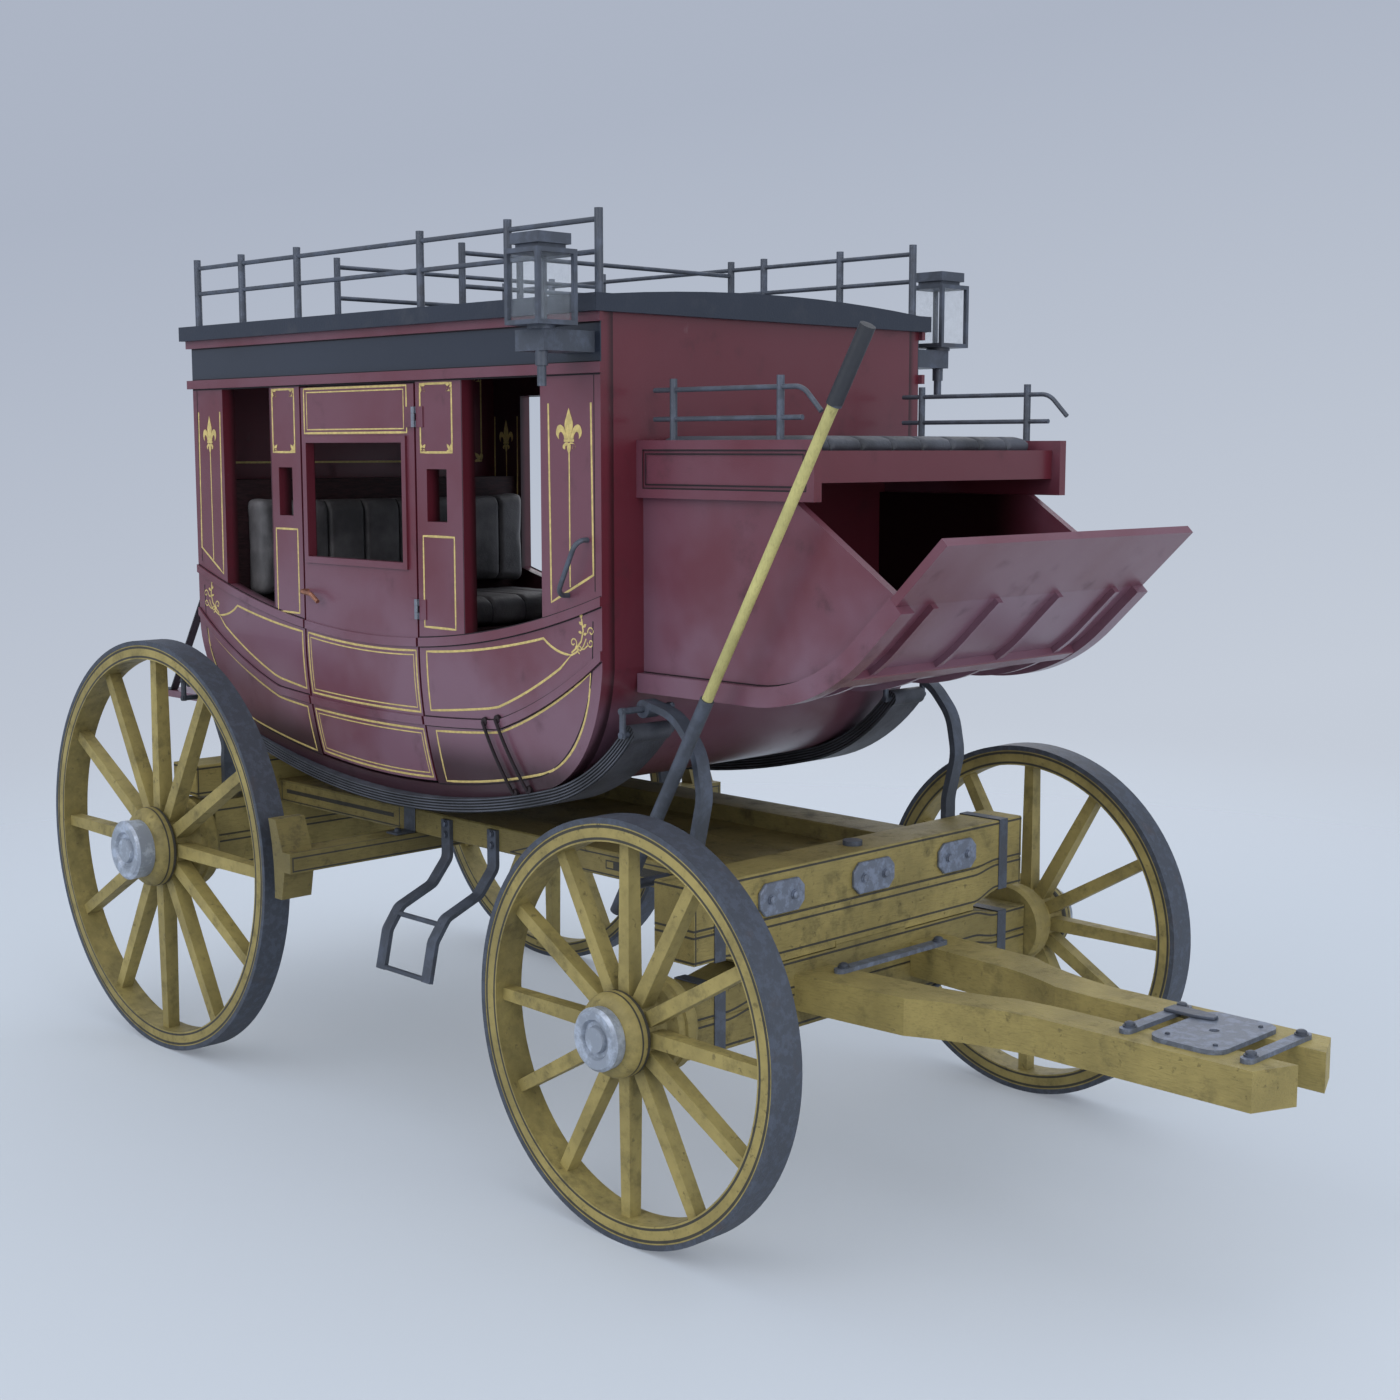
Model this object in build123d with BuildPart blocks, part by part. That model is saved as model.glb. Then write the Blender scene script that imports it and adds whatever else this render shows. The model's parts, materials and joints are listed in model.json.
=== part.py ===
"""A stagecoach: a hull-shaped cabin slung on leather straps over a wooden running gear with four spoked wheels.

Millimetres. X runs forward, Y to the coach's left, Z up; the zero point is on the floor, midway between the rear
tyres' back edge and the tips of the hounds.
"""

import math
import os

from build123d import *

os.makedirs("parts", exist_ok=True)

# Clearances
seat_gap = 0.3
running_gap = 1.0
arm_clearance = 0.1
door_gap = 9.0

# Running gear
wheelbase = 2324.0
front_wheel_radius = 551.0
rear_wheel_radius = 692.5
hound_reach = 1420.0
tyre_outer_y = 900.0
tyre_width = 91.5
tyre_thickness = 15.0
felloe_depth = 46.0
spoke_count = 12
spoke_width = 40.0
spoke_depth = 46.0
spoke_tip_share = 0.82

front_axle_x = (wheelbase + rear_wheel_radius - hound_reach) / 2
rear_axle_x = front_axle_x - wheelbase
tyre_mid_y = tyre_outer_y - tyre_width / 2

# Nave, hub cap and axle arm at the front; at the rear their radii are larger by a factor
rear_nave_scale = 1.2
nave_standout = 44.0
nave_length = 216.0
nave_radius = 98.0
nave_collar_radius = 126.0
nave_collar_width = 46.0
nave_drum_radius = 111.0
nave_drum_inset = 12.0
cap_radius = 82.0
cap_depth = 35.0
rear_cap_extra = 26.0
arm_root_radius = 40.0
arm_tip_radius = 27.0
arm_end_inset = 8.0
bed_gap = 6.0

nave_outer_y = tyre_outer_y + nave_standout
nave_inner_y = nave_outer_y - nave_length
arm_end_y = nave_outer_y - arm_end_inset
bed_half_length = nave_inner_y - bed_gap

# Front bolster and axle bed, with the pin between them
beam_thickness = 147.0
bolster_half_length = 700.0
bolster_top_z = 908.0
bolster_split_z = 783.0
bolster_bottom_z = 669.0
bolster_end_rise = 31.0
bed_top_z = 650.0
bed_bottom_z = 457.0
bed_end_drop = 23.0
beam_flat_half = 470.0
beam_slope_end = 580.0
beam_chamfer = 4.0
rub_plate_half_width = 150.0
kingpin_radius = 16.0
kingpin_head_radius = 28.0
kingpin_head = 14.0
groove = 4.0

rub_plate = (bolster_bottom_z - bed_top_z - running_gap) / 2

# Rear bolster and axle bed
rear_bolster_half_length = 770.0
rear_bolster_top_z = 958.0
rear_bolster_bottom_z = 830.0
rear_bolster_end_rise = 24.0
rear_bed_bottom_z = 596.0
rear_bed_split_z = 712.0
rear_bed_half_length = bed_half_length - 20

# Perches and the boards between them
perch_outer_y = 450.0
perch_inner_y = 300.0
perch_top_z = 877.0
perch_bottom_z = 800.0
board_thickness = 22.0
board_gap = 4.0
board_count = 3

# Hounds, as distances ahead of the axle and out from the middle
hound_bottom_z = 508.0
hound_depth = 100.0
hound_root = (318.0, 175.0)
hound_waist = (430.0, 289.0, 142.0)
hound_neck = (640.0, 210.0, 82.0)
hound_straight = (770.0, 188.0, 70.0)
hound_tip = (185.0, 66.0)
hound_tip_cut = 50.0
hound_iron_thickness = 12.0
hound_iron_width = 34.0
tongue_plate_reach = 1162.0
tongue_plate_length = 200.0
tongue_plate_half_width = 150.0
tongue_plate_corner = 45.0
tongue_hole_radius = 13.0

# Cabin
cabin_setback = 320.0
cabin_length = 2065.0
side_outer_y = 657.0
wall_thickness = 45.0
end_wall_thickness = 26.0
wall_top_z = 2375.0
belly_z = 968.0
belly_end_z = 1068.0
belly_end_inset = 280.0
bilge_z = 1222.0
bilge_inset = 75.0
corner_z = 1430.0
hull_thickness = 22.0
turn_under_z = 1470.0
waist_z = 1220.0
waist_tuck = 16.0
keel_tuck = 77.0

cabin_front = front_axle_x - cabin_setback
cabin_rear = cabin_front - cabin_length
cabin_mid = (cabin_front + cabin_rear) / 2
wall_inner_y = side_outer_y - wall_thickness
belly_half = cabin_length / 2 - belly_end_inset
belly_sag = belly_end_z - belly_z
belly_radius = (belly_half**2 + belly_sag**2) / (2 * belly_sag)
belly_angle = math.degrees(math.asin(belly_half / belly_radius))

# Roof and its rail
roof_half_width = 690.5
roof_overhang = 22.0
roof_edge = 46.5
roof_crown = 28.0
rail_post_radius = 11.5
rail_radius = 7.0
rail_y = 655.0
rail_height = 218.5
rails_below_top = (28.0, 111.0)
cross_post_radius = 10.5
cross_post_drop = 18.0
cross_rail_y = 480.0
cross_mid_y = 260.0
cross_rails_below_top = (47.0, 144.0)

roof_edge_z = wall_top_z + roof_edge
crown_half_width = rail_y - 2 * rail_post_radius

# Openings of a side, along X from the cabin's middle; its windows stand on the upper belt
window_top_z = 2215.0
rear_window = (-847.5, -562.5)
front_window = (439.5, 785.5)
post_slots = ((-517.5, -439.5), (268.5, 363.5))
slot_bottom_z = 1807.0
slot_top_z = 1960.0
door_span = (-390.5, 219.5)
door_top_z = 2217.0
door_thickness = 24.0
door_stop = 12.0
sill_height = 40.0
door_window = (-349.5, 153.5)
door_window_bottom_z = 1682.0
door_window_top_z = 2037.0
door_frame_width = 20.0

# Belts and cornices on the sides; a belt is a row of arcs out from the middle, each through three points of X and Z
belt_height = 26.0
belt_relief = 7.0
upper_belt = (((-1032.5, 1628.0), (0.0, 1455.0), (1032.5, 1628.0)),)
lower_belt = (
    ((-568.5, 1249.0), (0.0, 1222.0), (568.5, 1249.0)),
    ((568.5, 1249.0), (785.5, 1334.0), (1032.5, 1482.0)),
)
cornices = ((2217.0, 2245.0), (2350.0, 2375.0))
cornice_relief = 14.0

# Door hinges and handles
hinge_standoff = 7.0
hinge_radius = 6.0
hinge_pin_radius = 3.0
hinge_leaf = 3.0
hinge_leaf_length = 30.0
hinge_height = 60.0
hinge_centres_z = (1547.5, 2111.0)
handle_z = 1572.0
handle_inset = 25.0
handle_length = 96.0
handle_standoff = 30.0
handle_radius = 7.0
grab_handle = ((-55.0, 1777.0), (-135.0, 1625.0))
grab_standoff = 42.0
grab_bend = 30.0
grab_radius = 7.0

# Seats inside
floor_top_z = 1095.0
floor_thickness = 20.0
floor_half_length = 610.0
seat_board_top_z = 1400.0
seat_board_thickness = 25.0
riser_offset = 420.0
seat_back_depth = 125.0
seat_back_top_z = 1895.0
seat_back_board = 20.0
seat_nosing = 8.0
seat_cushion_thickness = 105.0
back_cushion_thickness = 110.0
back_cushion_drop = 17.0
cushion_side_gap = 14.0

# Front boot: its bottom runs level, bends up, and ends in a straight rise that the footboard carries on
boot_half_width = 505.0
boot_board = 26.0
boot_rail_depth = 52.0
boot_floor_lift = 24.0
boot_floor = 22.0
boot_bottom_z = 1361.0
boot_flat_end = 106.0
boot_bend_radius = 548.0
boot_rise_angle = 44.5
boot_rise = 158.0
boot_mouth = 235.0
boot_rib_ys = (-390.0, -130.0, 130.0, 390.0)
boot_rib_width = 20.0
boot_rib_lift = 8.0
footboard_length = 213.0
footboard_thickness = 24.0

# Driver's seat
seat_box_front = 322.0
seat_box_half_width = 530.0
seat_box_bottom_z = 1888.0
seat_box_depth = 153.0
seat_box_board = 28.0
seat_panel_border = 26.0
seat_panel_recess = 4.0
driver_seat_drop = 41.0
driver_seat_board = 28.0
driver_front_rise = 14.0
driver_front_depth = 80.0
driver_cushion_rise = 52.0
seat_rail_radius = 6.5
seat_post_radius = 10.0
seat_post_height = 160.0
seat_posts = (-190.0, 195.0)
seat_rail_span = (-262.0, 270.0)
seat_rail_nose = 62.0
seat_rail_heights = (55.0, 131.0)

seat_box_top_z = seat_box_bottom_z + seat_box_depth
driver_seat_top_z = seat_box_top_z - driver_seat_drop

# Straps: each end leaves the belly on an arc of its own
strap_inner_y = 475.0
strap_width = 140.0
strap_layers = 5
strap_layer = 8.4
strap_layer_gap = 1.8
strap_inset = 3.0
strap_gap = 0.5
strap_ends = (
    # direction along X, radius of the arc, angle at its end
    (1, 620.0, 50.5),
    (-1, 2600.0, 23.0),
)
strap_eye_radius = 25.0
ring_radius = 9.0
ring_clearance = 0.3

strap_thickness = strap_layers * strap_layer
strap_mid_y = strap_inner_y + strap_width / 2
strap_outer_y = strap_inner_y + strap_width

# Standards that the straps hang from: at each bend the distance ahead of the foot, and the height
standard_width = 45.0
standard_thickness = 20.0
front_standard_bend = 140.0
rear_standard_bend = 60.0
standard_eye_radius = 25.0
front_standard_y = 538.0
rear_standard_y = 652.0
front_standard_foot_z = 806.0
rear_standard_foot_z = 860.0
front_standard_bends = ((0.0, 965.0), (34.0, 1105.0), (12.0, 1220.0), (-68.0, 1312.0))
rear_standard_bends = ((0.0, 985.0), (8.0, 1020.0), (-52.0, 1130.0), (-150.0, 1214.0))
front_eye_lift = 64.0
rear_eye_lift = 62.0

# Steps: each leg's route as a distance out from the perch and a depth below its top
step_legs_x = (72.5, 302.5)
step_leg_width = 42.0
step_leg_thickness = 14.0
step_route = ((0.0, 10.0), (0.0, 130.0), (62.0, 205.0), (186.0, 256.0), (232.0, 320.0), (258.0, 440.0))
step_bend = 40.0
rung_radius = 8.0
rungs = ((199.0, 274.0), (256.0, 432.0))

# Brake, with X from the front axle: the beam, the front outline of its shoes, and the lever
brake_beam_rear = -1555.0
brake_beam_width = 110.0
brake_beam_depth = 62.0
brake_beam_half_length = 925.0
brake_shoe_gap = 97.0
brake_shoe_width = 105.0
brake_shoe_front = ((-1496.0, 650.0), (-1479.0, 735.0), (-1486.0, 800.0), (-1522.0, 896.0))
lever_y = 600.0
lever_foot = (-331.0, 761.0)
lever_ferrule = (13.0, 1382.0)
lever_grip = (434.0, 2129.0)
lever_tip = (550.0, 2304.0)
lever_iron_radius = 19.0
lever_shaft_radius = 14.5
lever_grip_radius = 20.0
lever_pivot_z = 838.0
lever_pivot_radius = 14.0

# Lamps
lamp_setback = 50.0
lamp_y = 815.0
lamp_half = 67.0
lamp_bottom_z = 2334.0
lamp_height = 192.0
lamp_bar = 12.0
lamp_glass = 3.0
lamp_neck_half = 46.0
lamp_lid_half = 56.0
lamp_neck = 12.0
lamp_lid = 28.0
lamp_stem = (
    # radius, length below the lamp
    (37.0, 9.0),
    (16.5, 102.0),
    (12.0, 154.0),
)
lamp_arm_bottom_z = 2270.0
lamp_arm_top_z = 2325.0
lamp_arm_length = 116.0

# Rear platform, hung from the rear wall
platform_half_width = 500.0
platform_neck_half_width = 460.0
platform_rear = 565.0
platform_neck = 175.0
platform_top_z = 1137.0
platform_thickness = 24.0
hanger_inset = 66.0
hanger_top_z = 1880.0
hanger_width = 30.0
hanger_thickness = 5.0
hanger_tab = 60.0
hanger_bend = 12.0


def save(part, label):
    """Label a finished piece and write it under its own name."""
    part.label = label
    export_step(part, f"parts/{label}.step")


def side_plane(y):
    """The plane at y seen from the coach's right: local x is X, local y is Z, and it faces -Y."""
    return Plane(origin=(0, y, 0), x_dir=(1, 0, 0), z_dir=(0, -1, 0))


def cross_plane(x):
    """The plane across the coach at x: local x is Y, local y is Z, and it faces forward."""
    return Plane(origin=(x, 0, 0), x_dir=(0, 1, 0), z_dir=(1, 0, 0))


def arm_radius_at(y, scale):
    """The axle arm's radius at a distance y from the coach's middle."""
    share = (y - bed_half_length) / (arm_end_y - bed_half_length)
    return scale * (arm_root_radius + share * (arm_tip_radius - arm_root_radius))


def arm_lines(root_y, scale, gap):
    """Half the outline of a tapered axle arm, or of its bore with a gap."""
    Polyline(
        (0, root_y),
        (arm_radius_at(root_y, scale) + gap, root_y),
        (arm_radius_at(arm_end_y, scale) + gap, arm_end_y + gap),
        (0, arm_end_y + gap),
        close=True,
    )


# Wheels: iron tyre, wooden wheel of nave, spokes and felloe, and a turned iron cap
wheels = (
    # name, axle x, side, radius, nave scale, cap depth
    ("front_left", front_axle_x, 1, front_wheel_radius, 1.0, cap_depth),
    ("front_right", front_axle_x, -1, front_wheel_radius, 1.0, cap_depth),
    ("rear_left", rear_axle_x, 1, rear_wheel_radius, rear_nave_scale, cap_depth + rear_cap_extra),
    ("rear_right", rear_axle_x, -1, rear_wheel_radius, rear_nave_scale, cap_depth + rear_cap_extra),
)

for name, axle_x, side, radius, scale, depth in wheels:
    hub_plane = Plane(origin=(axle_x, 0, radius), x_dir=(1, 0, 0), z_dir=(0, 0, side))
    axle_line = Axis((axle_x, 0, radius), (0, 1, 0))
    felloe_radius = radius - tyre_thickness
    felloe_inner = felloe_radius - felloe_depth
    drum_inner_y = tyre_outer_y - nave_drum_inset
    collar_step_y = nave_inner_y + nave_collar_width

    with BuildPart() as tyre:
        with BuildSketch(hub_plane):
            with Locations((radius - tyre_thickness / 2, tyre_mid_y)):
                Rectangle(tyre_thickness, tyre_width)
        revolve(axis=axle_line)
    save(tyre.part, f"tyre_{name}")

    with BuildPart() as wheel:
        with BuildSketch(hub_plane):
            with BuildLine():
                Polyline(
                    (0, nave_inner_y),
                    (scale * (nave_collar_radius - 8), nave_inner_y),
                    (scale * nave_collar_radius, nave_inner_y + 14),
                    (scale * nave_collar_radius, collar_step_y - 4),
                    (scale * (nave_collar_radius - 7), collar_step_y),
                    (scale * (nave_collar_radius - 7), collar_step_y + 22),
                    (scale * nave_radius, collar_step_y + 42),
                    (scale * nave_radius, drum_inner_y - 14),
                    (scale * nave_drum_radius, drum_inner_y),
                    (scale * nave_drum_radius, tyre_outer_y + 6),
                )
                ThreePointArc(
                    (scale * nave_drum_radius, tyre_outer_y + 6),
                    (scale * (nave_drum_radius - 6), tyre_outer_y + nave_standout * 0.65),
                    (scale * cap_radius, nave_outer_y),
                )
                Polyline((scale * cap_radius, nave_outer_y), (0, nave_outer_y), (0, nave_inner_y))
            make_face()
        revolve(axis=axle_line)
        with BuildSketch(hub_plane):
            with Locations((felloe_radius - felloe_depth / 2, tyre_mid_y)):
                Rectangle(felloe_depth, tyre_width - 2)
        revolve(axis=axle_line)
        for spoke in range(spoke_count):
            turn = math.radians(spoke * 360 / spoke_count)
            out = (math.cos(turn), 0, math.sin(turn))
            ends = ((scale * nave_radius - 6, 1.0), (felloe_inner + 6, spoke_tip_share))
            for reach, share in ends:
                foot = (axle_x + reach * out[0], side * tyre_mid_y, radius + reach * out[2])
                with BuildSketch(Plane(origin=foot, x_dir=(0, 1, 0), z_dir=out)):
                    Rectangle(share * spoke_depth * (1 + scale) / 2, share * spoke_width * (1 + scale) / 2)
            loft()
        with BuildSketch(hub_plane):
            with BuildLine():
                arm_lines(nave_inner_y - running_gap, scale, arm_clearance)
            make_face()
        revolve(axis=axle_line, mode=Mode.SUBTRACT)
    save(wheel.part, f"wheel_{name}")

    cap_tip_y = nave_outer_y + depth
    with BuildPart() as cap:
        with BuildSketch(hub_plane):
            with BuildLine():
                Polyline(
                    (0, nave_outer_y),
                    (scale * (cap_radius - 2), nave_outer_y),
                    (scale * cap_radius, cap_tip_y - 8),
                    (scale * (cap_radius - 8), cap_tip_y),
                    (scale * 52, cap_tip_y - 2),
                    (scale * 46, cap_tip_y - 12),
                    (scale * 36, cap_tip_y - 12),
                    (scale * 32, cap_tip_y),
                    (0, cap_tip_y),
                    close=True,
                )
            make_face()
        revolve(axis=axle_line)
    save(cap.part, f"hub_cap_{name}")


# Beams across the coach, thinner towards their ends
def beam_lines(half_length, top_z, bottom_z, end_rise, end_drop):
    """The outline of a beam seen from the front."""
    Polyline(
        (-half_length, bottom_z + end_rise),
        (-beam_slope_end, bottom_z + end_rise),
        (-beam_flat_half, bottom_z),
        (beam_flat_half, bottom_z),
        (beam_slope_end, bottom_z + end_rise),
        (half_length, bottom_z + end_rise),
        (half_length, top_z - end_drop),
        (beam_slope_end, top_z - end_drop),
        (beam_flat_half, top_z),
        (-beam_flat_half, top_z),
        (-beam_slope_end, top_z - end_drop),
        (-half_length, top_z - end_drop),
        close=True,
    )


with BuildPart() as front_bolster:
    with BuildSketch(cross_plane(front_axle_x - beam_thickness / 2)):
        with BuildLine():
            beam_lines(bolster_half_length, bolster_top_z, bolster_bottom_z, bolster_end_rise, 0)
        make_face()
    extrude(amount=beam_thickness)
    chamfer(front_bolster.edges().filter_by(Axis.Y).group_by(Axis.Z)[-1], beam_chamfer)
    with Locations((front_axle_x, 0, bolster_bottom_z - rub_plate / 2)):
        Box(beam_thickness, 2 * rub_plate_half_width, rub_plate)
    for face in (-1, 1):
        with Locations((front_axle_x + face * beam_thickness / 2, 0, bolster_split_z)):
            Box(groove, 2 * bolster_half_length, groove, mode=Mode.SUBTRACT)
    with Locations((front_axle_x, 0, bolster_top_z)):
        Hole(kingpin_radius + seat_gap, depth=bolster_top_z)
save(front_bolster.part, "front_bolster")

with BuildPart() as kingpin:
    with Locations((front_axle_x, 0, bed_bottom_z - running_gap - kingpin_head)):
        Cylinder(kingpin_head_radius, kingpin_head, align=(Align.CENTER, Align.CENTER, Align.MIN))
        pin_length = bolster_top_z + seat_gap - bed_bottom_z + running_gap + 2 * kingpin_head
        Cylinder(kingpin_radius, pin_length, align=(Align.CENTER, Align.CENTER, Align.MIN))
    with Locations((front_axle_x, 0, bolster_top_z + seat_gap)):
        Cylinder(kingpin_head_radius, kingpin_head, align=(Align.CENTER, Align.CENTER, Align.MIN))
save(kingpin.part, "kingpin")

with BuildPart() as front_axle:
    with BuildSketch(cross_plane(front_axle_x - beam_thickness / 2)):
        with BuildLine():
            beam_lines(bed_half_length, bed_top_z, bed_bottom_z, 0, bed_end_drop)
        make_face()
    extrude(amount=beam_thickness)
    with Locations((front_axle_x, 0, bed_top_z + rub_plate / 2)):
        Box(beam_thickness, 2 * rub_plate_half_width, rub_plate)
    for face in (-1, 1):
        with Locations((front_axle_x + face * beam_thickness / 2, 0, front_wheel_radius)):
            Box(groove, 2 * bed_half_length, groove, mode=Mode.SUBTRACT)
    for side in (-1, 1):
        with BuildSketch(Plane(origin=(front_axle_x, 0, front_wheel_radius), x_dir=(1, 0, 0), z_dir=(0, 0, side))):
            with BuildLine():
                arm_lines(bed_half_length, 1.0, 0)
            make_face()
        revolve(axis=Axis((front_axle_x, 0, front_wheel_radius), (0, 1, 0)))
    with Locations((front_axle_x, 0, bed_top_z + rub_plate)):
        Hole(kingpin_radius + running_gap, depth=bed_top_z)
save(front_axle.part, "front_axle")

with BuildPart() as rear_bolster:
    with BuildSketch(cross_plane(rear_axle_x - beam_thickness / 2)):
        with BuildLine():
            beam_lines(rear_bolster_half_length, rear_bolster_top_z, rear_bolster_bottom_z, rear_bolster_end_rise, 0)
        make_face()
    extrude(amount=beam_thickness)
    chamfer(rear_bolster.edges().filter_by(Axis.Y).group_by(Axis.Z)[-1], beam_chamfer)
save(rear_bolster.part, "rear_bolster")

with BuildPart() as rear_axle:
    with Locations((rear_axle_x, 0, (rear_bolster_bottom_z + rear_bed_bottom_z) / 2)):
        Box(beam_thickness, 2 * rear_bed_half_length, rear_bolster_bottom_z - rear_bed_bottom_z)
    for face in (-1, 1):
        with Locations((rear_axle_x + face * beam_thickness / 2, 0, rear_bed_split_z)):
            Box(groove, 2 * rear_bed_half_length, groove, mode=Mode.SUBTRACT)
    for side in (-1, 1):
        with BuildSketch(Plane(origin=(rear_axle_x, 0, rear_wheel_radius), x_dir=(1, 0, 0), z_dir=(0, 0, side))):
            with BuildLine():
                arm_lines(rear_bed_half_length, rear_nave_scale, 0)
            make_face()
        revolve(axis=Axis((rear_axle_x, 0, rear_wheel_radius), (0, 1, 0)))
save(rear_axle.part, "rear_axle")

# Hounds: the two curved stubs that a tongue is bolted between, with their irons
hound_back = front_axle_x + beam_thickness / 2
hound_front = front_axle_x + hound_reach
hound_top_z = hound_bottom_z + hound_depth
with BuildPart() as hounds:
    for side in (-1, 1):
        with BuildSketch(Plane.XY.offset(hound_bottom_z)):
            with BuildLine():
                Polyline(
                    (front_axle_x + hound_waist[0], side * hound_waist[1]),
                    (hound_back, side * hound_root[0]),
                    (hound_back, side * hound_root[1]),
                    (front_axle_x + hound_waist[0], side * hound_waist[2]),
                )
                ThreePointArc(
                    (front_axle_x + hound_waist[0], side * hound_waist[2]),
                    (front_axle_x + (hound_waist[0] + hound_neck[0]) / 2, side * (hound_neck[2] + 38)),
                    (front_axle_x + hound_neck[0], side * hound_neck[2]),
                )
                Polyline(
                    (front_axle_x + hound_neck[0], side * hound_neck[2]),
                    (front_axle_x + hound_straight[0], side * hound_straight[2]),
                    (hound_front, side * hound_tip[1]),
                    (hound_front - hound_tip_cut, side * hound_tip[0]),
                    (front_axle_x + hound_straight[0], side * hound_straight[1]),
                )
                ThreePointArc(
                    (front_axle_x + hound_straight[0], side * hound_straight[1]),
                    (front_axle_x + hound_neck[0], side * hound_neck[1]),
                    (front_axle_x + hound_waist[0], side * hound_waist[1]),
                )
            make_face()
        extrude(amount=hound_depth)
save(hounds.part, "hounds")

cross_irons = (
    # distance ahead of the axle, half length
    (150.0, 236.0),
    (1000.0, 150.0),
    (1328.0, 150.0),
)
with BuildPart() as hound_irons:
    with BuildSketch(Plane.XY.offset(hound_top_z)):
        for reach, half_length in cross_irons:
            with Locations((front_axle_x + reach, 0)):
                SlotOverall(2 * half_length, hound_iron_width, rotation=90)
        with Locations((front_axle_x + tongue_plate_reach, 0)):
            RectangleRounded(tongue_plate_length, 2 * tongue_plate_half_width, tongue_plate_corner)
            Circle(tongue_hole_radius, mode=Mode.SUBTRACT)
    extrude(amount=hound_iron_thickness)
save(hound_irons.part, "hound_irons")

# Perches: the two long beams from bolster to rear axle, and the boards that close the bay between them
frame_front = front_axle_x - beam_thickness / 2
frame_rear = rear_axle_x + beam_thickness / 2
frame_mid = (frame_front + frame_rear) / 2
with BuildPart() as perches:
    with Locations((frame_mid, 0, (perch_top_z + perch_bottom_z) / 2)):
        with GridLocations(0, perch_outer_y + perch_inner_y, 1, 2):
            Box(frame_front - frame_rear, perch_outer_y - perch_inner_y, perch_top_z - perch_bottom_z)
    chamfer(perches.edges().filter_by(Axis.X), beam_chamfer)
save(perches.part, "perches")

board_width = (2 * (perch_inner_y - seat_gap) - (board_count - 1) * board_gap) / board_count
with BuildPart() as frame_boards:
    with Locations((frame_mid, 0, perch_bottom_z + beam_chamfer + board_thickness / 2)):
        with GridLocations(0, board_width + board_gap, 1, board_count):
            Box(frame_front - frame_rear, board_width, board_thickness)
save(frame_boards.part, "frame_boards")

# The cabin's outline: straight ends, round bilges and a shallow belly
belly_front = (cabin_front - belly_end_inset, belly_end_z)
bilge_front = (cabin_front - bilge_inset, bilge_z)
corner_front = (cabin_front, corner_z)


def mirror_x(point):
    """The same point at the cabin's other end."""
    return (2 * cabin_mid - point[0], point[1])


def belly_height(x):
    """The height of the belly's underside at x."""
    return belly_z + belly_radius - math.sqrt(belly_radius**2 - (x - cabin_mid) ** 2)


def circle_height(points, x):
    """The height at x on the lower side of the circle through three points."""
    (x1, z1), (x2, z2), (x3, z3) = points
    squares = [px**2 + pz**2 for px, pz in points]
    double = 2 * (x1 * (z2 - z3) + x2 * (z3 - z1) + x3 * (z1 - z2))
    centre_x = (squares[0] * (z2 - z3) + squares[1] * (z3 - z1) + squares[2] * (z1 - z2)) / double
    centre_z = (squares[0] * (x3 - x2) + squares[1] * (x1 - x3) + squares[2] * (x2 - x1)) / double
    return centre_z - math.sqrt((x1 - centre_x) ** 2 + (z1 - centre_z) ** 2 - (x - centre_x) ** 2)


def belt_height_at(belt, x):
    """The height of a belt's top edge at x, which is the same at both ends of the cabin."""
    offset = abs(x - cabin_mid)
    arc = next(points for points in belt if offset <= points[-1][0] + seat_gap)
    return circle_height(arc, offset)


def belt_line(belt, x_from, x_to, lift):
    """The arcs of a belt from one X to another, lifted by a height."""
    knees = [cabin_mid + sign * arc[-1][0] for arc in belt[:-1] for sign in (-1, 1)]
    low, high = min(x_from, x_to), max(x_from, x_to)
    stops = sorted([low, high] + [knee for knee in knees if low < knee < high], reverse=x_to < x_from)
    for start, end in zip(stops, stops[1:]):
        ThreePointArc(*[(x, belt_height_at(belt, x) + lift) for x in (start, (start + end) / 2, end)])


def belt_lines(belt, x_from, x_to):
    """The outline of a belt's strip."""
    belt_line(belt, x_from, x_to, 0)
    Line((x_to, belt_height_at(belt, x_to)), (x_to, belt_height_at(belt, x_to) - belt_height))
    belt_line(belt, x_to, x_from, -belt_height)
    Line((x_from, belt_height_at(belt, x_from) - belt_height), (x_from, belt_height_at(belt, x_from)))


def side_lines():
    """The cabin's side outline up to the roof."""
    Line((cabin_front, wall_top_z), corner_front)
    ThreePointArc(corner_front, bilge_front, belly_front)
    ThreePointArc(belly_front, (cabin_mid, belly_z), mirror_x(belly_front))
    ThreePointArc(mirror_x(belly_front), mirror_x(bilge_front), mirror_x(corner_front))
    Polyline(mirror_x(corner_front), (cabin_rear, wall_top_z), (cabin_front, wall_top_z))


def cavity_lines(gap):
    """The cabin's inside outline, kept clear of its walls by a gap."""
    corner = (cabin_front - end_wall_thickness - gap, corner_z)
    bilge = (bilge_front[0] - hull_thickness - gap, bilge_z + hull_thickness / 2 + gap)
    belly = (belly_front[0] - hull_thickness / 4 - gap, belly_end_z + hull_thickness + gap)
    top = (corner[0], wall_top_z)
    Line(top, corner)
    ThreePointArc(corner, bilge, belly)
    ThreePointArc(belly, (cabin_mid, belly_z + hull_thickness + gap), mirror_x(belly))
    ThreePointArc(mirror_x(belly), mirror_x(bilge), mirror_x(corner))
    Polyline(mirror_x(corner), mirror_x(top), top)


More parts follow.
